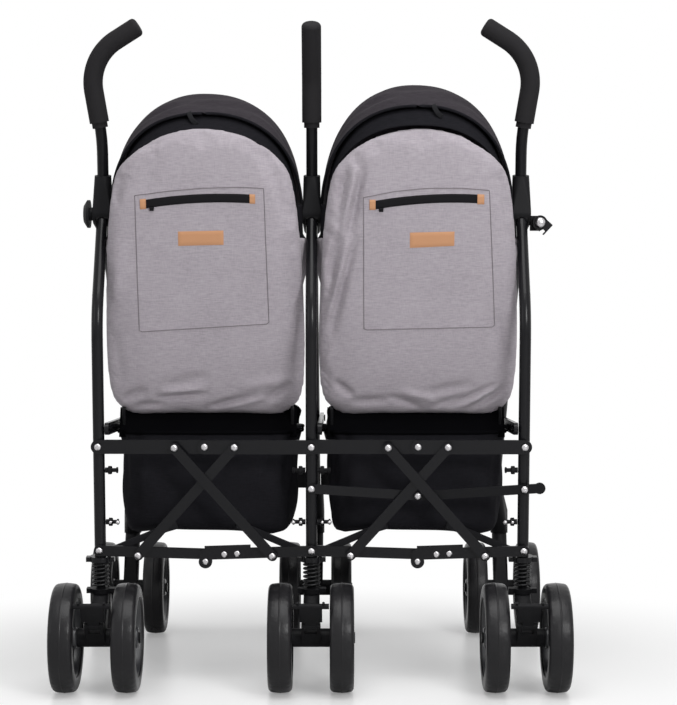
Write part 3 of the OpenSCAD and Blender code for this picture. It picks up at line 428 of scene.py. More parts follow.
def tread_notches(a, x):
    """Radius change: shallow notches across the shoulders, none on the crown or sidewall."""
    off_crown = np.clip((np.abs(x) - NOTCH_FROM) / NOTCH_EASE, 0, 1)
    off_wall = np.clip((NOTCH_TO - np.abs(x)) / NOTCH_EASE, 0, 1)
    skew = np.sign(x) * np.pi / NOTCHES
    return -NOTCH_DEEP * off_crown * off_wall * np.clip(np.cos(NOTCHES * a + skew) * 3 - 1.6, 0, 1)


def wheel_places():
    """Name and centre of each wheel: twin sets behind under the frames, and on the casters in front."""
    for side, s in SIDES.items():
        for twin, t in TWINS.items():
            x = s * FRAME_PITCH + t * TWIN_TRACK / 2
            yield f"{side}_rear_wheel_{twin}", (x, REAR_AXLE_Y, WHEEL_R)
            yield f"{side}_front_wheel_{twin}", (x + s * CASTER_SPLAY, FRONT_AXLE_Y, WHEEL_R)


for name, centre in wheel_places():
    points = turned(tyre_profile(), centre, TYRE_STEPS, tread_notches)
    tyre = grid_piece(f"{name}.tyre", points, tyre_foam, name, wrap_rows=True, wrap_cols=True)
print("tyres:", len(list(wheel_places())), "points each:", TYRE_STEPS * len(tyre_profile()))

# %% Rims
SPOKES, RIM_STEPS, SHARP = 6, 120, 0.6
# One side of the section of hub, web and rim bed, from the axle hole outwards: radius and distance along X.
RIM_SIDE = np.array([[4.1, 16.5], [13.5, 16.5], [15, 15], [16.5, 5.5], [22, 4.2], [47, 4.2], [52, 6],
                     [53.5, 13.5], [54.5, 15], [58, 15]]) * mm
RIM_PROFILE = np.concatenate([RIM_SIDE, (RIM_SIDE * [1, -1])[::-1]])
WEB_COLS = (4, len(RIM_PROFILE) - 6)
WINDOW_FROM, WINDOW_TO = 0.2, 0.8


def rim_faces():
    """Faces of a turned rim without those of the web inside the windows."""
    cols = len(RIM_PROFILE)
    faces = grid_faces(RIM_STEPS, cols, wrap_rows=True, wrap_cols=True)
    turn = (faces[:, 0] // cols + 0.5) / RIM_STEPS * SPOKES % 1
    web = np.isin(faces[:, 0] % cols, WEB_COLS)
    return faces[~(web & (turn > WINDOW_FROM) & (turn < WINDOW_TO))]


for name, centre in wheel_places():
    rim = mesh_piece(f"{name}.rim", turned(RIM_PROFILE, centre, RIM_STEPS), rim_faces(), rim_plastic, name)
    rim.data.set_sharp_from_angle(angle=SHARP)
    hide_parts(name)
print("rims with", SPOKES, "windows")

# %% [markdown]
# ## Springs
#
# Each rear leg stands on a coil spring. The coil is one wire: a circle carried along a helix whose axis
# is the leg's own. The solid has a coarse wire, so a finer one stands for it.

# %% Springs
LEG_TILT = np.radians(7.3)
JOINT_Y, JOINT_Z, LEG_OFFSET = -225 * mm, 705 * mm, 90 * mm
UPPER_DROP, TOGGLE_DROP, LOWER_DROP = 336.04 * mm, 399.04 * mm, 492.04 * mm
COIL_R, COIL_WIRE, COIL_TURNS, COIL_STEPS = 11.5 * mm, 1.5 * mm, 6, 24
COIL_LEN, COIL_GAP, COLLAR, SPRING_TRAVEL = 40 * mm, 0.3 * mm, 18.5 * mm, 12 * mm
COIL_TOP = -(LOWER_DROP + COLLAR + COIL_GAP)


def leg_points(x, y, z):
    """Points given in the frame of a rear leg, whose origin is the hinge, in the frame of the object."""
    return tilted(np.stack(np.broadcast_arrays(x, y, z), -1), LEG_TILT, (0, JOINT_Y, JOINT_Z))


def coil_path(x):
    """Helix: a point that goes round the leg's axis at coil radius and climbs evenly."""
    a = np.linspace(0, 2 * np.pi * COIL_TURNS, COIL_TURNS * COIL_STEPS + 1)
    margin = COIL_WIRE + COIL_GAP
    z = COIL_TOP - COIL_LEN + margin + (COIL_LEN - 2 * margin) * a / a[-1]
    return leg_points(x + COIL_R * np.cos(a), -LEG_OFFSET + COIL_R * np.sin(a), z)


BACKWARD, axis = leg_points(0, [-1, 0], [0, 1]) - leg_points(0, 0, 0)
for side, s in SIDES.items():
    path, wire = coil_path(s * FRAME_PITCH), round_profile(COIL_WIRE)
    coil = sweep_piece(f"{side}_coil", path, axis, wire, spring_steel, f"{side}_carrier")
    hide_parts(f"{side}_spring")
    foot = leg_points(s * FRAME_PITCH, -LEG_OFFSET, COIL_TOP - COIL_LEN)
    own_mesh(coil)
print("coils:", COIL_TURNS, "turns each")

# %% [markdown]
# ## Rivets
#
# Bright domed rivets hold the cross bars, and they are the most visible sparkle on the black frame. A dome
# is a quarter circle turned about the rivet's own axis. All domes that move with one body are one mesh.

# %% Rivets
BAR_T, BAR_GAP, BAR_FIRST, HEAD_T = 3 * mm, 0.4 * mm, 99.1 * mm, 2 * mm
HALF_SPAN = FRAME_PITCH / 2
DOME_RINGS, DOME_AROUND = 5, 16


def layer_back(layer):
    """Rear face of a layer of flat links, in the frame of the leg."""
    return -(BAR_FIRST + layer * (BAR_T + BAR_GAP) + BAR_T)


def head_back(layer):
    """Rear face of a flat rivet head behind a layer of links."""
    return layer_back(layer) - BAR_GAP - HEAD_T


def rivets(name, centres, body, radius=5.2 * mm, height=2.4 * mm, axis=BACKWARD, material=rivet_metal):
    """A mesh of domes that rides on a body: rings of a flattened quarter circle turned about axis, one grid
    for each centre."""
    axis = normed(axis)
    across = normed(np.cross(axis, [1.0, 0, 0]))
    other = np.cross(axis, across)
    lift = np.linspace(0, np.pi / 2, DOME_RINGS)[:, None, None]
    a = full_turn(DOME_AROUND)[None, :, None]
    dome = radius * np.cos(lift) * (np.cos(a) * across + np.sin(a) * other) + height * np.sin(lift) * axis
    points = np.reshape(centres, (-1, 1, 1, 3)) + dome
    first = DOME_RINGS * DOME_AROUND * np.arange(len(points))[:, None, None]
    faces = (grid_faces(DOME_RINGS, DOME_AROUND, wrap_cols=True) + first).reshape(-1, 4)
    piece = mesh_piece(name, points, faces, material, body)


for side, s in SIDES.items():
    layer = 0 if side == "left" else 1
    spots = [(layer, UPPER_DROP), (layer, LOWER_DROP)]
    if side != "left":
        spots.append((layer if side == "right" else 0, TOGGLE_DROP))
    centres = [leg_points(s * FRAME_PITCH, head_back(k), -drop) for k, drop in spots]
    rivets(f"{side}_leg_rivets", centres, f"{side}_leg")

SCISSOR_FOOT, SCISSOR_HEAD, LOWER_SAG, TOGGLE_SAG = 58 * mm, 44 * mm, 16 * mm, 10 * mm
LOWER_ANGLE = np.arctan2(LOWER_SAG, HALF_SPAN)
FOOT_Z = -LOWER_DROP - SCISSOR_FOOT * np.sin(LOWER_ANGLE)
for unit, t in TWINS.items():
    middle = t * HALF_SPAN
    centre = leg_points(middle, layer_back(1), -UPPER_DROP)
    rivets(f"{unit}_upper_middle_rivet", centre, f"{unit}_upper_bar_right")
    for link, bar, way, layer in (("scissor_rising", "lower_bar_left", 1, 2),
                                  ("scissor_falling", "lower_bar_right", -1, 3)):
        head = leg_points(middle + way * SCISSOR_HEAD, layer_back(layer), -UPPER_DROP)
        rivets(f"{unit}_{link}_rivet", head, f"{unit}_{link}")
        foot_x = middle - way * (HALF_SPAN - SCISSOR_FOOT * np.cos(LOWER_ANGLE))
        rivets(f"{unit}_{bar}_rivet", leg_points(foot_x, head_back(layer), FOOT_Z), f"{unit}_{bar}")
centre = leg_points(HALF_SPAN, layer_back(1), -TOGGLE_DROP - TOGGLE_SAG)
rivets("toggle_middle_rivet", centre, "release_lever")
HOOK_RIVET = np.array([340.5, -248.2, 691]) * mm
rivets("hook_rivet", HOOK_RIVET, "right_frame", radius=7.5 * mm, height=4 * mm, axis=(0, -1, 0))
print("rivets set")

# %% [markdown]
# The middle hinge of each lower bar sits in a round ear under the bar, and two small rivets hold the pressed
# edge beside it. They are flatter than the others, because a scissor link passes close behind them.

# %% Lock rivets
LOCK_X, LOCK_Z = np.array([0, 28, 47]) * mm, np.array([0, 11, 12]) * mm
for unit, t in TWINS.items():
    centres = leg_points(t * HALF_SPAN + LOCK_X, layer_back(1), -LOWER_DROP - LOWER_SAG + LOCK_Z)
    body = f"{unit}_lower_bar_right"
    rivets(f"{unit}_lock_rivets", centres, body, radius=4.4 * mm, height=1.2 * mm)
print("lock rivets on both lower bars")

# %% [markdown]
# On the inner side of the legs, a pin with a steel head stands out for each rear corner of a basket, and a
# bolt above it. Both are one profile turned about an axis along X. An elastic tie runs from the foot of the
# leg up to the basket.

# %% Basket pins and ties
PIN_PROFILE = np.array([[0, 9], [4, 9], [4, 13], [6.2, 13.6], [6.2, 18], [5.4, 19], [3, 19], [3, 25],
                        [4.4, 25.6], [4.4, 28], [0, 28.6]]) * mm
PIN_DROPS, PIN_STEPS = {"pin": 451 * mm, "bolt": 373 * mm}, 24
PIN_HEADS, PIN_BACK = np.array([16, 26.8]) * mm, LEG_OFFSET + 4.2 * mm
TIE = np.array([[-9, -250, 200], [-51, -247, 217], [-87, -236, 231], [-113, -233.5, 239]]) * mm


def turned_part(name, profile, centre, steps, body):
    """A small moulded part: an open profile turned about X, with crisp edges."""
    part = grid_piece(name, turned(profile, centre, steps), moulded_black, body, wrap_rows=True)
    part.data.set_sharp_from_angle(angle=SHARP)
    return part


def strap(name, path, side, width, thick, body):
    """A flat band of webbing along a path."""
    return sweep_piece(name, path, side, band_profile(width, thick), webbing, body)


for unit, t in TWINS.items():
    for edge, e in TWINS.items():
        leg_x, body = (t + e) * HALF_SPAN, f"{unit if e == t else 'centre'}_leg"
        for label, drop in PIN_DROPS.items():
            centre = leg_points(leg_x, -LEG_OFFSET, -drop)
            pin = turned_part(f"{unit}_bag_{label}_{edge}", PIN_PROFILE * [1, -e], centre, PIN_STEPS, body)
        heads = leg_points(leg_x - e * PIN_HEADS, -PIN_BACK, -PIN_DROPS["pin"])
        rivets(f"{unit}_bag_pin_heads_{edge}", heads, body, radius=3.2 * mm, height=2.4 * mm)
        path = smooth_path(TIE * [e, 1, 1] + [leg_x, 0, 0], 16)
        tie = strap(f"{unit}_bag_tie_{edge}", path, (0, 0, 1), width=11 * mm, thick=1.6 * mm, body=body)
        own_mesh(tie)
print("pins, bolts and ties on the legs")

# %% [markdown]
# ## Backrests
#
# Seen from behind, the two grey backrests are most of the picture. Each is a padded panel with a cloth
# cover: round at the top under the hood, nearly straight at the sides, gathered at the hem. The form starts
# as rings of a rounded outline whose half width follows the photograph, and a short cloth simulation with a
# little inner pressure swells it, so that the cover looks filled. Folds are pressed in afterwards along
# short lines, because the remesh before the simulation would smear them.

# %% Backrest forms
BACK_LEAN = np.radians(16)
BACK_Y, SEAT_Z = -196 * mm, 424 * mm
OUTLINE_HEIGHTS = np.array([-24, -16, -6, 6, 34, 96, 158, 234, 309, 352, 384, 401, 414, 420]) * mm
OUTLINE_HALVES = np.array([108, 125, 136, 143, 148.5, 151, 150, 146, 138, 128, 103, 79, 46, 14]) * mm
REAR_SWELL, FRONT_SWELL = 27 * mm, 8 * mm
PANEL_OUT = 2 * mm


def monotone(x, xs, ys):
    """Smooth interpolation without overshoot: cubic pieces whose slopes are limited by their neighbours."""
    h, d = np.diff(xs), np.diff(ys) / np.diff(xs)
    inner = np.where(d[:-1] * d[1:] > 0, 2 * d[:-1] * d[1:] / (d[:-1] + d[1:] + 1e-12), 0)
    slope = np.concatenate([d[:1], inner, d[-1:]])
    k = np.clip(np.searchsorted(xs, x) - 1, 0, len(h) - 1)
    f = (x - xs[k]) / h[k]
    a, b = 2 * f**3 - 3 * f**2 + 1, f**3 - 2 * f**2 + f
    return a * ys[k] + b * h[k] * slope[k] + (1 - a) * ys[k + 1] + (f**3 - f**2) * h[k] * slope[k + 1]


def backrest_grid(middle, rows=80, around=72):
    """Rings from hem to top: half width from the outline, and a depth that swells from the edges inwards."""
    share = 0.5 - 0.5 * np.cos(np.linspace(0, np.pi, rows))
    z = OUTLINE_HEIGHTS[0] + share * (OUTLINE_HEIGHTS[-1] - OUTLINE_HEIGHTS[0])
    half = monotone(z, OUTLINE_HEIGHTS, OUTLINE_HALVES)
    fill = (np.sin(np.pi * np.clip(share, 0.002, 0.998)) ** 0.35)[:, None]
    a = full_turn(around)[None, :]
    x = half[:, None] * signed_power(np.cos(a), 0.55)
    y = np.where(np.sin(a) < 0, REAR_SWELL, FRONT_SWELL) * fill * signed_power(np.sin(a), 0.75)
    flat = np.stack(np.broadcast_arrays(x, y, z[:, None]), -1)
    points = tilted(flat, BACK_LEAN, (middle, BACK_Y, SEAT_Z))
    ends = points[[0, -1]].mean(1, keepdims=True).repeat(around, 1)
    return np.concatenate([ends[:1], points, ends[1:]])


def mesh_points(piece):
    """The points of a mesh as an array."""
    flat = np.empty(len(piece.data.vertices) * 3)
    piece.data.vertices.foreach_get("co", flat)
    return flat.reshape(-1, 3)


def set_points(piece, points):
    """Puts an array of points back into a mesh."""
    piece.data.vertices.foreach_set("co", np.asarray(points, np.float32).ravel())
    piece.data.update()


def swell(piece, voxel=4 * mm, cap=6 * mm, pressure=4.0, frames=20):
    """Voxel remesh, then Blender's cloth with inner pressure and no gravity. No point moves more than cap,
    and most of the pull towards the middle is left out, so that the outline stays."""
    remesh = piece.modifiers.new("voxels", "REMESH")
    remesh.mode, remesh.voxel_size = "VOXEL", voxel
    graph = bpy.context.evaluated_depsgraph_get()
    piece.data = bpy.data.meshes.new_from_object(piece.evaluated_get(graph))
    piece.modifiers.clear()
    start = mesh_points(piece)
    cloth = piece.modifiers.new("cloth", "CLOTH")
    cloth.settings.use_pressure = True
    cloth.settings.uniform_pressure_force = pressure
    cloth.settings.effector_weights.gravity = 0
    cloth.point_cache.frame_end = frames
    for step in range(1, frames + 1):
        bpy.context.scene.frame_set(step)
    graph = bpy.context.evaluated_depsgraph_get()
    change = (mesh_points(piece.evaluated_get(graph)) - start) * [0.2, 1.0, 0.5]
    piece.modifiers.clear()
    bpy.context.scene.frame_set(1)
    size = np.linalg.norm(change, axis=1, keepdims=True)
    set_points(piece, start + change * np.minimum(1, cap / np.maximum(size, 1e-9)))
    piece.data.shade_smooth()


def mesh_area(piece):
    """Area of a mesh's faces, in square metres."""
    areas = np.empty(len(piece.data.polygons))
    piece.data.polygons.foreach_get("area", areas)
    return float(areas.sum())


def soften(piece):
    """One level of subdivision, the same in the viewport and in the render."""
    smoothing = piece.modifiers.new("smooth", "SUBSURF")
    smoothing.levels = smoothing.render_levels = 1


backrests = {}
for unit, t in TWINS.items():
    points = backrest_grid(t * (HALF_SPAN + PANEL_OUT))
    panel = grid_piece(f"{unit}_back_panel", points, heather, f"{unit}_backrest", wrap_cols=True)
    swell(panel)
    backrests[unit] = panel
    print(panel.name, "points:", len(panel.data.vertices))

# %% [markdown]
# The folds of a cover follow the pull on it. At the hem the cloth is gathered over the edge of the board,
# so short slanting folds run into it. Along the sides it is drawn towards the frame in long upright ones.
# Each fold is a line across the panel: a point near it moves along the panel's depth by a bell curve.

# %% Backrest folds
# Each fold: start and end (across, up) in mm on the panel, depth and width in mm. Minus is a crease.
FOLDS = {
    "left": np.array([
        [-126, 6, -88, 27, -7, 6], [-80, 11, 6, 19, -7, 4.5], [-70, 19, 0, 27, 4, 6],
        [-66, 31, 8, 47, -4, 9], [-4, -6, 60, 14, -6, 4.5], [12, -8, 76, 17, -6, 4.5],
        [26, -4, 92, 12, 4, 5], [48, 28, 138, 42, 4, 9], [90, 8, 130, 36, -6, 6],
        [-112, -4, -60, 3, -5, 5], [78, 400, 112, 340, -7, 10], [104, 356, 128, 270, -8, 9],
        [122, 292, 140, 112, -6, 9], [112, 346, 138, 216, 4, 9], [-118, 352, -128, 300, -5, 7],
        [-122, 262, -134, 150, 3, 10], [-66, 386, -84, 320, -3, 12], [-136, 120, -126, 30, -4, 9]]) * mm,
    "right": np.array([
        [-82, 372, -104, 256, -11, 6], [-93, 366, -116, 256, 7, 6], [-104, 368, -128, 270, -11, 6],
        [-122, 270, -136, 184, -9, 6], [-92, 266, -126, 140, -11, 6], [-104, 258, -132, 130, 7, 6.5],
        [-114, 262, -138, 150, -8, 6], [-110, 200, -140, 76, -9, 7], [-116, 330, -138, 210, 6, 6],
        [-130, 130, -140, 50, 5, 8], [-126, 38, -96, 14, -8, 6], [-104, 4, -40, 10, -6, 6],
        [-48, 16, 8, -5, -6, 5], [-30, 24, 30, 6, 4, 6], [10, 20, 82, 35, -5, 7],
        [44, -4, 120, 34, -7, 4.5], [58, -6, 128, 32, 5, 5], [76, -10, 140, 34, -7, 5],
        [20, -4, 70, 16, -5, 4.5], [114, 356, 132, 280, -5, 8], [112, 150, 134, 60, -6, 9],
        [126, 128, 140, 66, 4, 8]]) * mm,
}
FOLD_DEPTH = 12 * mm


def press_folds(piece, middle, folds):
    """Moves rear points along the panel's depth: for each fold a bell curve of the distance to its line,
    which tapers out towards both ends of the line."""
    points = mesh_points(piece)
    flat = tilted(points - [middle, BACK_Y, SEAT_Z], -BACK_LEAN, (0, 0, 0))
    place = flat[:, None, [0, 2]]
    start, run = folds[:, 0:2], folds[:, 2:4] - folds[:, 0:2]
    share = np.clip(((place - start) * run).sum(-1) / (run * run).sum(-1), 0, 1)
    gap = np.linalg.norm(place - start - share[..., None] * run, axis=-1)
    bell = folds[:, 4] * np.sin(np.pi * share) ** 0.8 * np.exp(-((gap / folds[:, 5]) ** 2))
    rear = np.clip(-flat[:, 1] / FOLD_DEPTH, 0, 1)
    backward = tilted(np.array([0, -1, 0]), BACK_LEAN, (0, 0, 0))
    set_points(piece, points + (bell.sum(-1) * rear)[:, None] * backward)


for unit, t in TWINS.items():
    press_folds(backrests[unit], t * (HALF_SPAN + PANEL_OUT), FOLDS[unit])
    soften(backrests[unit])
    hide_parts(f"{unit}_backrest")
print("folds:", {unit: len(folds) for unit, folds in FOLDS.items()})

# %% [markdown]
# ## Pocket, zip and leather
#
# Each cover has a large pocket: a seam of dark thread round it, a black zip with a slight arch under its top
# edge, tan leather tabs at both ends of the zip and a bare leather patch below. These lie on the cloth, so
# each is drawn flat and then laid on the panel: a ray from behind finds the cloth at each grid point.

# %% Laying on the cloth
POCKET_Y, EDGE_LIFT = -0.262, 0.2 * mm


def laid_on(panel, x, z, lift, way=1):
    """Points on a panel at given x and z, lifted off the cloth: on its rear, or on its front for way -1."""
    start, aim = Vector((0, -way, 0)), Vector((0, way, 0))
    hits = [panel.ray_cast(start + Vector((a, 0, b)), aim) for a, b in zip(np.ravel(x), np.ravel(z))]
    y = np.array([hit[1][1] if hit[0] else np.nan for hit in hits])
    y = np.where(np.isnan(y), np.nanmean(y), y).reshape(np.shape(x))
    return np.stack([x, y - way * lift, z], -1)


def picture_corners(pixels):
    """Corner points (x, z) at the depth of the pockets, from columns and rows of the photograph."""
    scale = (POCKET_Y - CAMERA_Y) / FOCAL_PIXELS
    column, row = np.transpose(pixels)
    x, z = CAMERA_X + (column - PICTURE_WIDE / 2) * scale, CAMERA_Z - (row - HORIZON_ROW) * scale
    return np.stack([x, z], -1)


def patch_grid(corners, cols=24, rows=8, arch=0.0):
    """A four-cornered patch, from its top left corner clockwise, as grids of x and z; arch lifts the middle
    of its length."""
    u, v = np.meshgrid(np.linspace(0, 1, cols), np.linspace(0, 1, rows))
    weights = np.stack([(1 - v) * (1 - u), (1 - v) * u, v * u, v * (1 - u)], -1)
    x, z = np.moveaxis(weights @ np.asarray(corners), -1, 0)
    return x, z + arch * 4 * u * (1 - u)


def sewn_patch(name, panel, corners, thick, material, body, arch=0.0, way=1):
    """A patch that lies on the cloth: its face is lifted by its thickness, and its edge turns down."""
    x, z = patch_grid(corners, arch=arch)
    lift = np.full(x.shape, thick)
    lift[[0, -1], :] = lift[:, [0, -1]] = EDGE_LIFT
    return grid_piece(name, laid_on(panel, x, z, lift, way), material, body, order=-way)


print("pockets lie", round(POCKET_Y - CAMERA_Y, 3), "m from the camera")

# %% Pockets
# Columns and rows of the photograph, from the top left corner clockwise.
POCKETS = {
    "left": dict(
        seam=[(138, 198), (170, 194), (205, 191), (240, 190), (265, 191), (269, 324), (139, 332)],
        zip=[(149, 202), (251, 197), (251, 205.5), (149, 210.5)],
        patch=[(180, 233), (225, 232), (225, 246), (180, 247)],
        tabs=([(143, 201.5), (149, 201), (149, 211), (143, 211.5)],
              [(251, 196.5), (256.5, 197), (256.5, 206), (251, 206)])),
    "right": dict(
        seam=[(363, 200), (395, 194), (427, 191), (460, 191), (487, 193), (495, 327), (364, 330)],
        zip=[(375, 203), (475, 197), (475, 205.5), (375, 211.5)],
        patch=[(409, 234), (453, 233), (453, 247), (409, 249)],
        tabs=([(369, 202), (375, 202), (375, 212), (369, 212)],
              [(475, 196.5), (482, 197), (482, 206.5), (475, 206.5)])),
}
PULL = np.array([(3, -1.5), (8, -1.5), (7.5, 2.5), (3.5, 2.5)])
SEAM_STEPS, SEAM_R, SEAM_LIFT = 220, 0.55 * mm, 0.35 * mm
for unit, pocket in POCKETS.items():
    panel, body = backrests[unit], f"{unit}_backrest"
    loop = picture_corners(pocket["seam"] + pocket["seam"][:1])
    steps = np.linspace(0, len(loop) - 1, SEAM_STEPS)
    x, z = (np.interp(steps, np.arange(len(loop)), values) for values in loop.T)
    seam = laid_on(panel, x, z, SEAM_LIFT)
    sweep_piece(f"{unit}_pocket_seam", seam, (0, 1, 0), round_profile(SEAM_R, 6), thread, body)
    pull = np.array(pocket["zip"][3]) + PULL
    for label, pixels, thick, material, arch in (
        ("zip", pocket["zip"], 1.6 * mm, zip_tape, 4 * mm),
        ("leather_patch", pocket["patch"], 1.4 * mm, leather, 0.0),
        ("zip_tab_0", pocket["tabs"][0], 1.8 * mm, leather, 0.0),
        ("zip_tab_1", pocket["tabs"][1], 1.8 * mm, leather, 0.0),
        ("zip_pull", pull, 3.4 * mm, zip_tape, 0.0),
    ):
        sewn_patch(f"{unit}_{label}", panel, picture_corners(pixels), thick, material, body, arch)
    print(unit, "pocket: seam of", len(seam), "points")

# %% [markdown]
# ## Backrest hinge, wings and press studs
#
# The backrest turns on a rod between the seat rails, and two flat lugs are sewn into its lower edge. At both
# sides a narrow wing, black above and grey below, closes the gap to the frame. It is widest a little below
# the hood and runs out to a point, so it is a grid whose width changes along its length. Press studs close
# the outer wings.

# %% Hinge rods and lugs
RAIL_Z, ROD_R, CLEAR_HALF = 385 * mm, 4.5 * mm, 141.2 * mm
LUG_IN, LUG_LEN, LUG_W, LUG_T = 14 * mm, 31 * mm, 5 * mm, 9 * mm
UP_BACK = np.array([0, -np.sin(BACK_LEAN), np.cos(BACK_LEAN)])
for unit, t in TWINS.items():
    body = f"{unit}_backrest"
    hinge = np.array([t * HALF_SPAN, BACK_Y, RAIL_Z])
    rod = hinge + np.linspace(-CLEAR_HALF, CLEAR_HALF, 12)[:, None] * [1, 0, 0]
    sweep_piece(f"{unit}_back_rod", rod, (0, 0, 1), round_profile(ROD_R, 16), powder_coat, body)
    for end, e in TWINS.items():
        lug = hinge + [e * (CLEAR_HALF - LUG_IN), 0, 0] + np.linspace(0, LUG_LEN, 8)[:, None] * UP_BACK
        section = band_profile(LUG_W, LUG_T)
        sweep_piece(f"{unit}_back_lug_{end}", lug, (1, 0, 0), section, moulded_black, body)
print("rods and lugs")

# %% Wings
WING_TOP, WING_DROP, WING_IN, WING_SPLIT = 716 * mm, 142 * mm, 136 * mm, 0.34
WING_DROPS, WING_WIDTHS = np.array([0, 0.3, 0.38, 0.65, 1.0]), np.array([6, 7, 16, 13, 0]) * mm
WING_SET, WING_BULGE, WING_SWEEP, WING_RIPPLE = 8 * mm, 4 * mm, 2.6, 1.5 * mm
STUDS_FROM, STUDS_TO, STUD_LIFT = 0.4, 0.6, 0.4 * mm


def wing_points(middle, way, start, stop, rows=16, cols=10):
    """Part of a wing from the panel's edge (v = 0) to the frame (v = 1); u runs from the hood down."""
    u, v = np.meshgrid(np.linspace(start, stop, rows), np.linspace(0, 1, cols), indexing="ij")
    z = WING_TOP - WING_DROP * u
    edge = BACK_Y - (z - SEAT_Z) * np.tan(BACK_LEAN)
    wide = np.interp(u, WING_DROPS, WING_WIDTHS)
    x = middle + way * (WING_IN + wide * v)
    y = edge + WING_SET - WING_BULGE * np.sin(np.pi * v) + WING_SWEEP * wide * v**1.5
    return np.stack([x, y + WING_RIPPLE * np.sin(9 * u + 2 * v), z], -1)


for unit, t in TWINS.items():
    middle, body = t * HALF_SPAN, f"{unit}_backrest"
    for side, way in TWINS.items():
        for label, start, stop, cloth, kind in (("upper", 0, WING_SPLIT, black_cloth, "black_fabric"),
                                                ("lower", WING_SPLIT, 1, heather, "grey_fabric")):
            points = wing_points(middle, way, start, stop)
            wing = grid_piece(f"{unit}_{label}_wing_{side}", points, cloth, body, order=way)
            thicken(wing)
            mesh_area(wing) / 0.07
        if way == t:
            studs = wing_points(middle, way, STUDS_FROM, STUDS_TO, rows=2, cols=3)[:, 1] - [0, STUD_LIFT, 0]
            rivets(f"{unit}_press_studs", studs, body, radius=4.4 * mm, height=2.4 * mm,
                   axis=(way * 0.3, -0.95, 0), material=moulded_black)
print("wings with press studs")

# %% [markdown]
# ## Hoods
#
# A hood is one curved sheet over wire bows that turn about the frame's hinge line. Its section is an arch,
# and its reach grows towards the front. Between the bows the cloth is drawn in a little, so the bows show as
# soft ridges, and above the rear hem it is slack and creased. A hem of round piping closes the rear and
# front edges. A black lining lies inside the rear of the hood; its part below the rear hem, down to the top
# of the backrest, is painted shade: a dark sheet in the shaded gap between hood and backrest.

# %% Hood sheets
HOOD_HALF = HALF_SPAN - 13.5 * mm - 1.2 * mm
HOOD_RADII = {"left": 180 * mm, "right": 193 * mm}
HOOD_TURNS = np.radians([8, 45, 90, 112, 122])
HOOD_REACHES = np.array([1.16, 1.11, 1.0, 0.9, 0.86])
BOWS, BOW_DIP, BOW_WIDE = np.radians([8, 48, 86, 116]), 3.0 * mm, 0.16
LINING_SHADE_FROM, LINING_SHADE_TO, LINING_SHADE_IN = np.radians(100), np.radians(128), 7 * mm
CREASE_BACK, CREASE_WIDE, CREASE_STEEP, CREASE_CROSS = 0.3, 0.2, 2.0 * mm, 1.3 * mm
ARCH_ENDS = 0.05, np.pi - 0.05


def hood_creases(turn, arch):
    """Height of the soft creases of slack cloth above the rear hem, in two sets that cross."""
    near = np.exp(-(((turn - BOWS[-1] + CREASE_BACK) / CREASE_WIDE) ** 2))
    steep = CREASE_STEEP * np.sin(36 * turn + 5 * arch) * np.sin(2 * arch + 0.6) ** 2
    return near * (steep + CREASE_CROSS * np.sin(25 * turn - 8 * arch + 1))


def hood_points(middle, radius, turn, arch, inset=0.0):
    """Arch across the unit, swung about the hinge line by turn: its reach follows the turn, less the dips
    between the bows."""
    gap = np.min(np.abs(turn[..., None] - BOWS), -1)
    dip = BOW_DIP * (1 - np.exp(-((gap / BOW_WIDE) ** 2)))
    reach = np.interp(turn, HOOD_TURNS, HOOD_REACHES) * radius - inset - dip + hood_creases(turn, arch)
    high = reach * np.sin(arch) ** 0.88
    x = middle + (HOOD_HALF - inset) * signed_power(np.cos(arch), 0.88)
    return np.stack([x, JOINT_Y + high * np.cos(turn), JOINT_Z + high * np.sin(turn)], -1)


def hood_sheet(name, middle, radius, start, stop, material, body, inset=0.0, rows=60, cols=64):
    """A sheet of hood between two turns."""
    turn, arch = np.meshgrid(np.linspace(start, stop, rows), np.linspace(*ARCH_ENDS, cols), indexing="ij")
    piece = grid_piece(name, hood_points(middle, radius, turn, arch, inset), material, body)
    thicken(piece)
    return piece


print("hood reach:", HOOD_RADII)

# %% Hoods
HEM_R, HUB_STEPS = 2.2 * mm, 40
HUB_PROFILE = np.array([[0, -2], [16, -2], [18, -1], [18, 1], [16, 2], [6, 2.4], [0, 2.4]]) * mm
PULL_AT, PULL_PATH = 22 * mm, np.array([[0, 1, 2], [1, -4, -2], [5, -7, -10], [12, -6, -17]]) * mm
for unit, t in TWINS.items():
    middle, radius, body = t * HALF_SPAN, HOOD_RADII[unit], f"{unit}_hood"
    canopy = hood_sheet(f"{unit}_canopy", middle, radius, BOWS[0], BOWS[-1], hood_cloth, body)
    # Painted shade: below the rear hem the black lining fills the gap above the backrest, where there is only
    # shade.
    lining_and_shade = hood_sheet(f"{unit}_hood_lining_and_shade", middle, radius, LINING_SHADE_FROM, LINING_SHADE_TO, black_cloth, body,
                        LINING_SHADE_IN, rows=20)
    area = mesh_area(canopy)
    print(unit, "canopy area", round(area, 3), "m2")
    area = mesh_area(lining_and_shade)
    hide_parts(f"{unit}_hood")
    arch = np.linspace(*ARCH_ENDS, 72)
    for label, turn in (("rear", BOWS[-1]), ("front", BOWS[0])):
        edge = hood_points(middle, radius, np.full(arch.shape, turn), arch)
        hem = round_profile(HEM_R, 8)
        sweep_piece(f"{unit}_hood_{label}_hem", edge, (1, 0, 0), hem, black_cloth, body)
    for end, e in TWINS.items():
        centre = (middle + e * CLEAR_HALF, JOINT_Y, JOINT_Z)
        turned_part(f"{unit}_hood_hub_{end}", HUB_PROFILE * [1, e], centre, HUB_STEPS, body)
    top = hood_points(middle + t * PULL_AT, radius, BOWS[-1:], np.array([np.pi / 2]))
    path = smooth_path(top + PULL_PATH, 16)
    strap(f"{unit}_hood_pull", path, (1, 0, 0.4), width=7 * mm, thick=1.4 * mm, body=body)
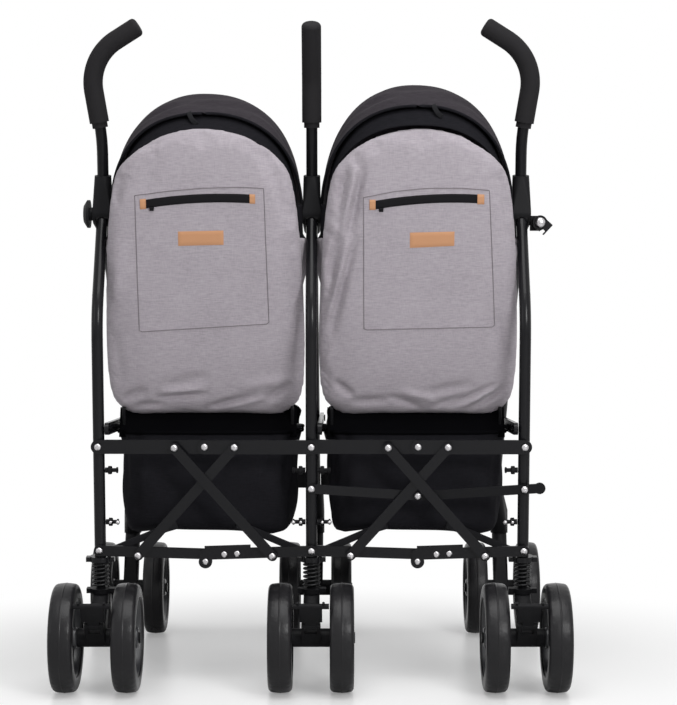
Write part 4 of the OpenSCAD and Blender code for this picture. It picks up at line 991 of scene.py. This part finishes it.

# %% [markdown]
# ## Seats
#
# The front of the stroller is not seen in the photograph. It has what such strollers have there: a crowned
# seat cushion, a calf flap that hangs from its front edge and a foot strap between the frame tubes. Behind, a
# sheet of painted shade closes the gap between the cushion and the hem of the backrest: it stands for the
# shade there. Cushion, sheet and bag hem are in a darker copy of the black cloth, painted shade too.

# %% Seats
SEAT_HALF, SEAT_DEPTH, SEAT_T, SEAT_MID_Z = 141 * mm, 286 * mm, 32 * mm, 393 * mm
SEAT_BACK, SEAT_PITCH = BACK_Y + 13 * mm, np.radians(4)
SEAT_MID = np.array([0, SEAT_BACK + SEAT_DEPTH / 2, SEAT_MID_Z])
TUBE_TOP_Y, TUBE_TOP_Z, TUBE_FOOT_Y, TUBE_FOOT_Z = -210 * mm, 712 * mm, 308 * mm, 226 * mm
MAIN_SLOPE = np.arctan2(TUBE_FOOT_Y - TUBE_TOP_Y, TUBE_TOP_Z - TUBE_FOOT_Z)
SOCKET_TOP, STRAP_W, STRAP_T, FLAP_HALF, FLAP_T = 46 * mm, 42 * mm, 4 * mm, 122 * mm, 9 * mm
STRAP_Z = TUBE_FOOT_Z + (SOCKET_TOP + STRAP_W / 2) * np.cos(MAIN_SLOPE)
STRAP_Y = TUBE_TOP_Y + (TUBE_TOP_Z - STRAP_Z) * np.tan(MAIN_SLOPE)
FLAP_TOP = np.array([0, SEAT_BACK + SEAT_DEPTH - 5 * mm, SEAT_MID_Z + SEAT_DEPTH / 2 * np.sin(SEAT_PITCH)])
FLAP_FOOT = np.array([0, STRAP_Y, STRAP_Z])
STRAP_REACH = HALF_SPAN - 9 * mm
SHADE_SHEET_HALF, SHADE_SHEET_LOW, SHADE_SHEET_HIGH, SHADE_SHEET_Y, SHADE_SHEET_SLOPE = 134 * mm, 370 * mm, 414 * mm, -209.5 * mm, 0.45


def pad_grid(half_w, half_l, half_t, rows=40, around=96, edge=0.28, crown=0.45):
    """Crowned pad: from pole to pole the outline of a rounded rectangle grows to its full size at the middle
    and shrinks again, so that the sides draw in and both faces swell."""
    level = np.linspace(-np.pi / 2, np.pi / 2, rows)[:, None]
    a = full_turn(around)[None, :]
    grow = np.maximum(np.cos(level), 0) ** crown
    x = half_w * grow * signed_power(np.cos(a), edge)
    y = half_l * grow * signed_power(np.sin(a), edge)
    return np.stack(np.broadcast_arrays(x, y, half_t * np.sin(level)), -1)


def shade_sheet_grid():
    """A sloping sheet with slight waves along it, in painted shade: a dark sheet for the shade in the gap
    behind the cushion.
    """
    x, z = np.meshgrid(np.linspace(-SHADE_SHEET_HALF, SHADE_SHEET_HALF, 48), np.linspace(SHADE_SHEET_LOW, SHADE_SHEET_HIGH, 12))
    y = SHADE_SHEET_Y + (z - SHADE_SHEET_LOW) * SHADE_SHEET_SLOPE + 0.4 * mm * np.sin(90 * x)
    return np.stack([x, y, z], -1)


for unit, t in TWINS.items():
    middle = np.array([t * HALF_SPAN, 0, 0])
    pad = pad_grid(SEAT_HALF - 3 * mm, SEAT_DEPTH / 2 - 3 * mm, SEAT_T / 2 - 2 * mm, edge=0.2, crown=0.3)
    pad = tilted(pad, SEAT_PITCH, SEAT_MID + middle)
    # The cushion is in the painted shade black: its rear edge is seen in the shade under the backrest.
    cushion = grid_piece(f"{unit}_seat_cushion", pad, painted_shade_black, "centre_frame", wrap_cols=True)
    swell(cushion, cap=3 * mm)
    soften(cushion)
    if unit == "left":
        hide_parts("seat_slings")
    run = FLAP_FOOT - FLAP_TOP
    flap = pad_grid(FLAP_HALF, np.linalg.norm(run) / 2, FLAP_T / 2, rows=14)
    flap = tilted(flap, np.arctan2(run[2], run[1]), (FLAP_TOP + FLAP_FOOT) / 2 + middle)
    calf = grid_piece(f"{unit}_calf_flap", flap, heather, "centre_frame", wrap_cols=True)
    across = middle + FLAP_FOOT + np.linspace(-STRAP_REACH, STRAP_REACH, 24)[:, None] * [1, 0, 0]
    up_tube = (0, -np.sin(MAIN_SLOPE), np.cos(MAIN_SLOPE))
    strap(f"{unit}_foot_strap", across, up_tube, STRAP_W, STRAP_T, "centre_frame")
    # Painted shade: a dark sheet in the gap behind the cushion, where there is only shade.
    shade_sheet = grid_piece(f"{unit}_painted_shade_sheet", shade_sheet_grid() + middle, painted_shade_black, "centre_frame")
    thicken(shade_sheet)
print("seats, shade_sheets, flaps and foot straps")

# %% [markdown]
# ## Harness
#
# Each seat has a five-point harness. Two shoulder straps with pads lie on the front of the backrest, two
# waist straps come from the sides and a strap comes up between the legs to the buckle. The straps are flat
# bands swept along smooth curves, and those on the backrest are laid on its front by rays.

# %% Harness
SHOULDER_TOP, SHOULDER_FOOT, SHOULDER_HALF = (46 * mm, 706 * mm), (34 * mm, 446 * mm), 13 * mm
PAD_TOP, PAD_FOOT, PAD_HALF, PAD_SHIFT = 690 * mm, 560 * mm, 19 * mm, 5 * mm
WAIST = np.array([[118, -150, 408], [96, -110, 413], [60, -66, 424], [18, -40, 436]]) * mm
CROTCH = np.array([[0, 30, 409], [0, 12, 414], [0, -16, 428], [0, -34, 437]]) * mm
WAIST_W, WAIST_T, CROTCH_W, CROTCH_T = 25 * mm, 2 * mm, 28 * mm, 2.2 * mm
BUCKLE_Y, BUCKLE_Z, BUCKLE_TILT = -38 * mm, 438 * mm, np.radians(-28)


def band_corners(x_top, z_top, x_foot, z_foot, half):
    """Corners of a straight band from its upper to its lower end."""
    return [(x_top - half, z_top), (x_top + half, z_top), (x_foot + half, z_foot), (x_foot - half, z_foot)]


for unit, t in TWINS.items():
    middle, panel, body = t * HALF_SPAN, backrests[unit], f"{unit}_backrest"
    for side, way in TWINS.items():
        x_top, x_foot = middle + way * SHOULDER_TOP[0], middle + way * SHOULDER_FOOT[0]
        corners = band_corners(x_top, SHOULDER_TOP[1], x_foot, SHOULDER_FOOT[1], SHOULDER_HALF)
        sewn_patch(f"{unit}_shoulder_strap_{side}", panel, corners, 2.2 * mm, webbing, body, way=-1)
        corners = band_corners(x_top, PAD_TOP, x_top - PAD_SHIFT, PAD_FOOT, PAD_HALF)
        pad = sewn_patch(f"{unit}_shoulder_pad_{side}", panel, corners, 8 * mm, black_cloth, body, way=-1)
        waist = smooth_path(WAIST, 24) * [way, 1, 1] + [middle, 0, 0]
        strap(f"{unit}_waist_strap_{side}", waist, (0, 0.2, 1), WAIST_W, WAIST_T, "centre_frame")
    rise = smooth_path(CROTCH, 20) + [middle, 0, 0]
    strap(f"{unit}_crotch_strap", rise, (1, 0, 0), CROTCH_W, CROTCH_T, "centre_frame")
    clasp = pad_grid(half_w=21 * mm, half_l=24 * mm, half_t=7 * mm, rows=16, around=48, edge=0.5)
    clasp = tilted(clasp, BUCKLE_TILT, (middle, BUCKLE_Y, BUCKLE_Z))
    grid_piece(f"{unit}_buckle", clasp, moulded_black, "centre_frame", wrap_cols=True)
print("harness on both seats")

# %% [markdown]
# ## Baskets
#
# Under each seat hangs a black cloth basket. It is one lofted bag: rings of a rounded rectangle that widen
# from the sagging floor to the rim. The cloth between the hanging points sags, so the floor gets slow waves,
# and the walls get shallow folds that run up from the corners.

# %% Baskets
BASKET_Y, BASKET_HALF, BASKET_LEN = -82 * mm, 133 * mm, 312 * mm
BASKET_FOOT, BASKET_DEEP, BASKET_RIM, RIM_HALF = 227 * mm, 125.5 * mm, 25 * mm, 140 * mm
BAG_LEVELS = np.array([0, 0.03, 0.1, 0.25, 0.5, 0.8, 1.0])
BAG_SHARES = np.array([0.84, 0.92, 0.96, 0.98, 0.995, 1.0, 1.0])
FLOOR_RINGS, WALL_RINGS, RIM_RINGS, BAG_HEM_R = 10, 34, 4, 3 * mm
BAG_FOLD, BAG_PLEAT, BAG_SAG = 2.2 * mm, 1.2 * mm, 5 * mm


def bag_grid(middle, around=160):
    """Rings from the middle of the floor up the walls, with sagging floor and folded walls, and a few more
    that draw the rim out to the seat rails."""
    a = full_turn(around)[None, :]
    climb = np.linspace(0, 1, WALL_RINGS)
    level = np.concatenate([np.zeros(FLOOR_RINGS), climb])[:, None]
    floor = np.linspace(0.0, BAG_SHARES[0], FLOOR_RINGS)
    share = np.concatenate([floor, monotone(climb, BAG_LEVELS, BAG_SHARES)])[:, None]
    fold = BAG_FOLD * np.sin(7 * a + 5 * level) * np.sin(np.pi * level)
    fold = fold + BAG_PLEAT * np.sin(17 * a - 3 * level) * level
    x = (BASKET_HALF * share + fold) * signed_power(np.cos(a), 0.42)
    y = (BASKET_LEN / 2 * share + fold) * signed_power(np.sin(a), 0.42)
    wave = (1 - level) * BAG_SAG * np.sin(3 * a + 0.8) * share
    bag = np.stack([x, y, BASKET_FOOT + BASKET_DEEP * level + wave * np.minimum(1, share * 2)], -1)
    out = np.linspace(0, 1, RIM_RINGS + 1)[1:, None]
    drawn = 1 + out * (RIM_HALF / BASKET_HALF - 1)
    x, y, z = bag[-1].T
    rim = np.stack(np.broadcast_arrays(x * drawn, y, z + BASKET_RIM * out), -1)
    return np.concatenate([bag, rim]) + [middle, BASKET_Y, 0]


for unit, t in TWINS.items():
    points = bag_grid(t * HALF_SPAN)
    bag = grid_piece(f"{unit}_bag", points, black_cloth, "centre_frame", wrap_cols=True)
    thicken(bag, 1.4 * mm)
    area = mesh_area(bag)
    hem = round_profile(BAG_HEM_R, 8)
    # The bag hem is in the painted shade black, for the shade under the seat.
    sweep_piece(f"{unit}_bag_hem", points[-1], (0, 0, 1), hem, painted_shade_black, "centre_frame", closed=True)
    if unit == "left":
        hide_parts("baskets")
    print(unit, "bag area", round(area, 3), "m2")

# %% [markdown]
# ## Cloth pieces
#
# When the stroller folds, the outer frames move in to half their distance, and cloth between them gathers,
# and the hoods have to pass between the mouldings of the joints. Every piece of cloth, leather, tape or
# thread, and the rods, lugs, hubs, press studs and buckles with it, is collected here, and each gets a mesh
# of its own.

# %% Cloth pieces
CLOTHS = (heather, hood_cloth, black_cloth, painted_shade_black, webbing, leather, zip_tape, thread)
GATHERED = {cloth.name for cloth in CLOTHS}
GATHERED_NAMES = ("_back_rod", "_back_lug", "_hood_hub", "_press_studs", "_buckle")
gathered = [
    piece for piece in bpy.context.scene.objects
    if piece.type == "MESH" and piece.name not in nodes and piece.data.materials
    and (piece.data.materials[0].name in GATHERED or any(part in piece.name for part in GATHERED_NAMES))
    and "_bag_tie" not in piece.name
]
for piece in gathered:
    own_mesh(piece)
print("gathered pieces:", len(gathered))

# %% [markdown]
# ## Stage and light
#
# A plain pale floor runs far back and meets a white surround, so the stroller stands in an even studio. Near
# the object the floor takes its shadow; further off it fades to the white of the surround, for the camera
# only. A wide lamp overhead, a key lamp high at the right of the camera and a weak one at the left give the
# streaks on the tubes.

# %% Floor
FLOOR_HALF = 9.0


def make_floor_paint(near=0.42, far=1.0, least=0.25):
    """Pale paint that turns to plain white for the camera, from one distance round the object to another."""
    paint = bpy.data.materials.new("floor_paint")
    paint.use_nodes = True
    tree = paint.node_tree
    shader = tree.nodes["Principled BSDF"]
    set_inputs(tree, shader, {
        "Base Color": (0.86, 0.86, 0.86, 1), "Roughness": 0.3, "Specular IOR Level": 0.3})
    place = add_node(tree, "TexCoord").outputs["Object"]
    distance = add_node(tree, "VectorMath", {0: place}, operation="LENGTH").outputs["Value"]
    ends = {"Value": distance, "From Min": near, "From Max": far, "To Min": least}
    fade = add_node(tree, "MapRange", ends, interpolation_type="SMOOTHSTEP").outputs["Result"]
    camera_ray = add_node(tree, "LightPath").outputs["Is Camera Ray"]
    white = add_node(tree, "Emission").outputs["Emission"]
    share = math_node(tree, "MULTIPLY", fade, camera_ray)
    blend = add_node(tree, "MixShader", {"Fac": share, 1: shader.outputs["BSDF"], 2: white})
    set_inputs(tree, tree.nodes["Material Output"], {"Surface": blend.outputs["Shader"]})
    return paint


corners = np.array([[-1, -1, 0], [1, -1, 0], [1, 1, 0], [-1, 1, 0]]) * FLOOR_HALF
floor_mesh = bpy.data.meshes.new("floor")
floor_mesh.from_pydata(corners.tolist(), [], [(0, 1, 2, 3)])
floor_mesh.materials.append(make_floor_paint())
floor = bpy.data.objects.new("floor", floor_mesh)
bpy.context.scene.collection.objects.link(floor)
print("floor", 2 * FLOOR_HALF, "m wide")

# %% Lamps and surround
SURROUND_LIGHT = 0.28


def soft_lamp(name, place, aim, size, watts):
    """A square area lamp that faces a point."""
    lamp = bpy.data.objects.new(name, bpy.data.lights.new(name, "AREA"))
    lamp.data.size, lamp.data.energy = size, watts
    lamp.location = place
    lamp.rotation_euler = (Vector(aim) - Vector(place)).to_track_quat("-Z", "Y").to_euler()
    bpy.context.scene.collection.objects.link(lamp)


soft_lamp("overhead", place=(0.2, -1.3, 3.1), aim=(0, -0.1, 0.3), size=2.2, watts=70)
soft_lamp("key", place=(1.4, -3.0, 1.6), aim=(0, -0.2, 0.5), size=0.9, watts=46)
soft_lamp("left_side", place=(-2.6, -2.0, 1.4), aim=(0, -0.1, 0.5), size=1.2, watts=6)
world = bpy.data.worlds.new("surround")
world.use_nodes = True
tree = world.node_tree
rays = add_node(tree, "LightPath").outputs
seen = math_node(tree, "MAXIMUM", rays["Is Camera Ray"], rays["Is Glossy Ray"])
seen = math_node(tree, "MAXIMUM", seen, rays["Is Transmission Ray"])
strength = add_node(tree, "MapRange", {"Value": seen, "To Min": SURROUND_LIGHT, "To Max": 1.0})
sky = {"Color": (1, 1, 1, 1), "Strength": strength.outputs["Result"]}
set_inputs(tree, tree.nodes["Background"], sky)
bpy.context.scene.world = world
bpy.context.scene.view_settings.view_transform = "Standard"
print("lamps:", len(bpy.data.lights))
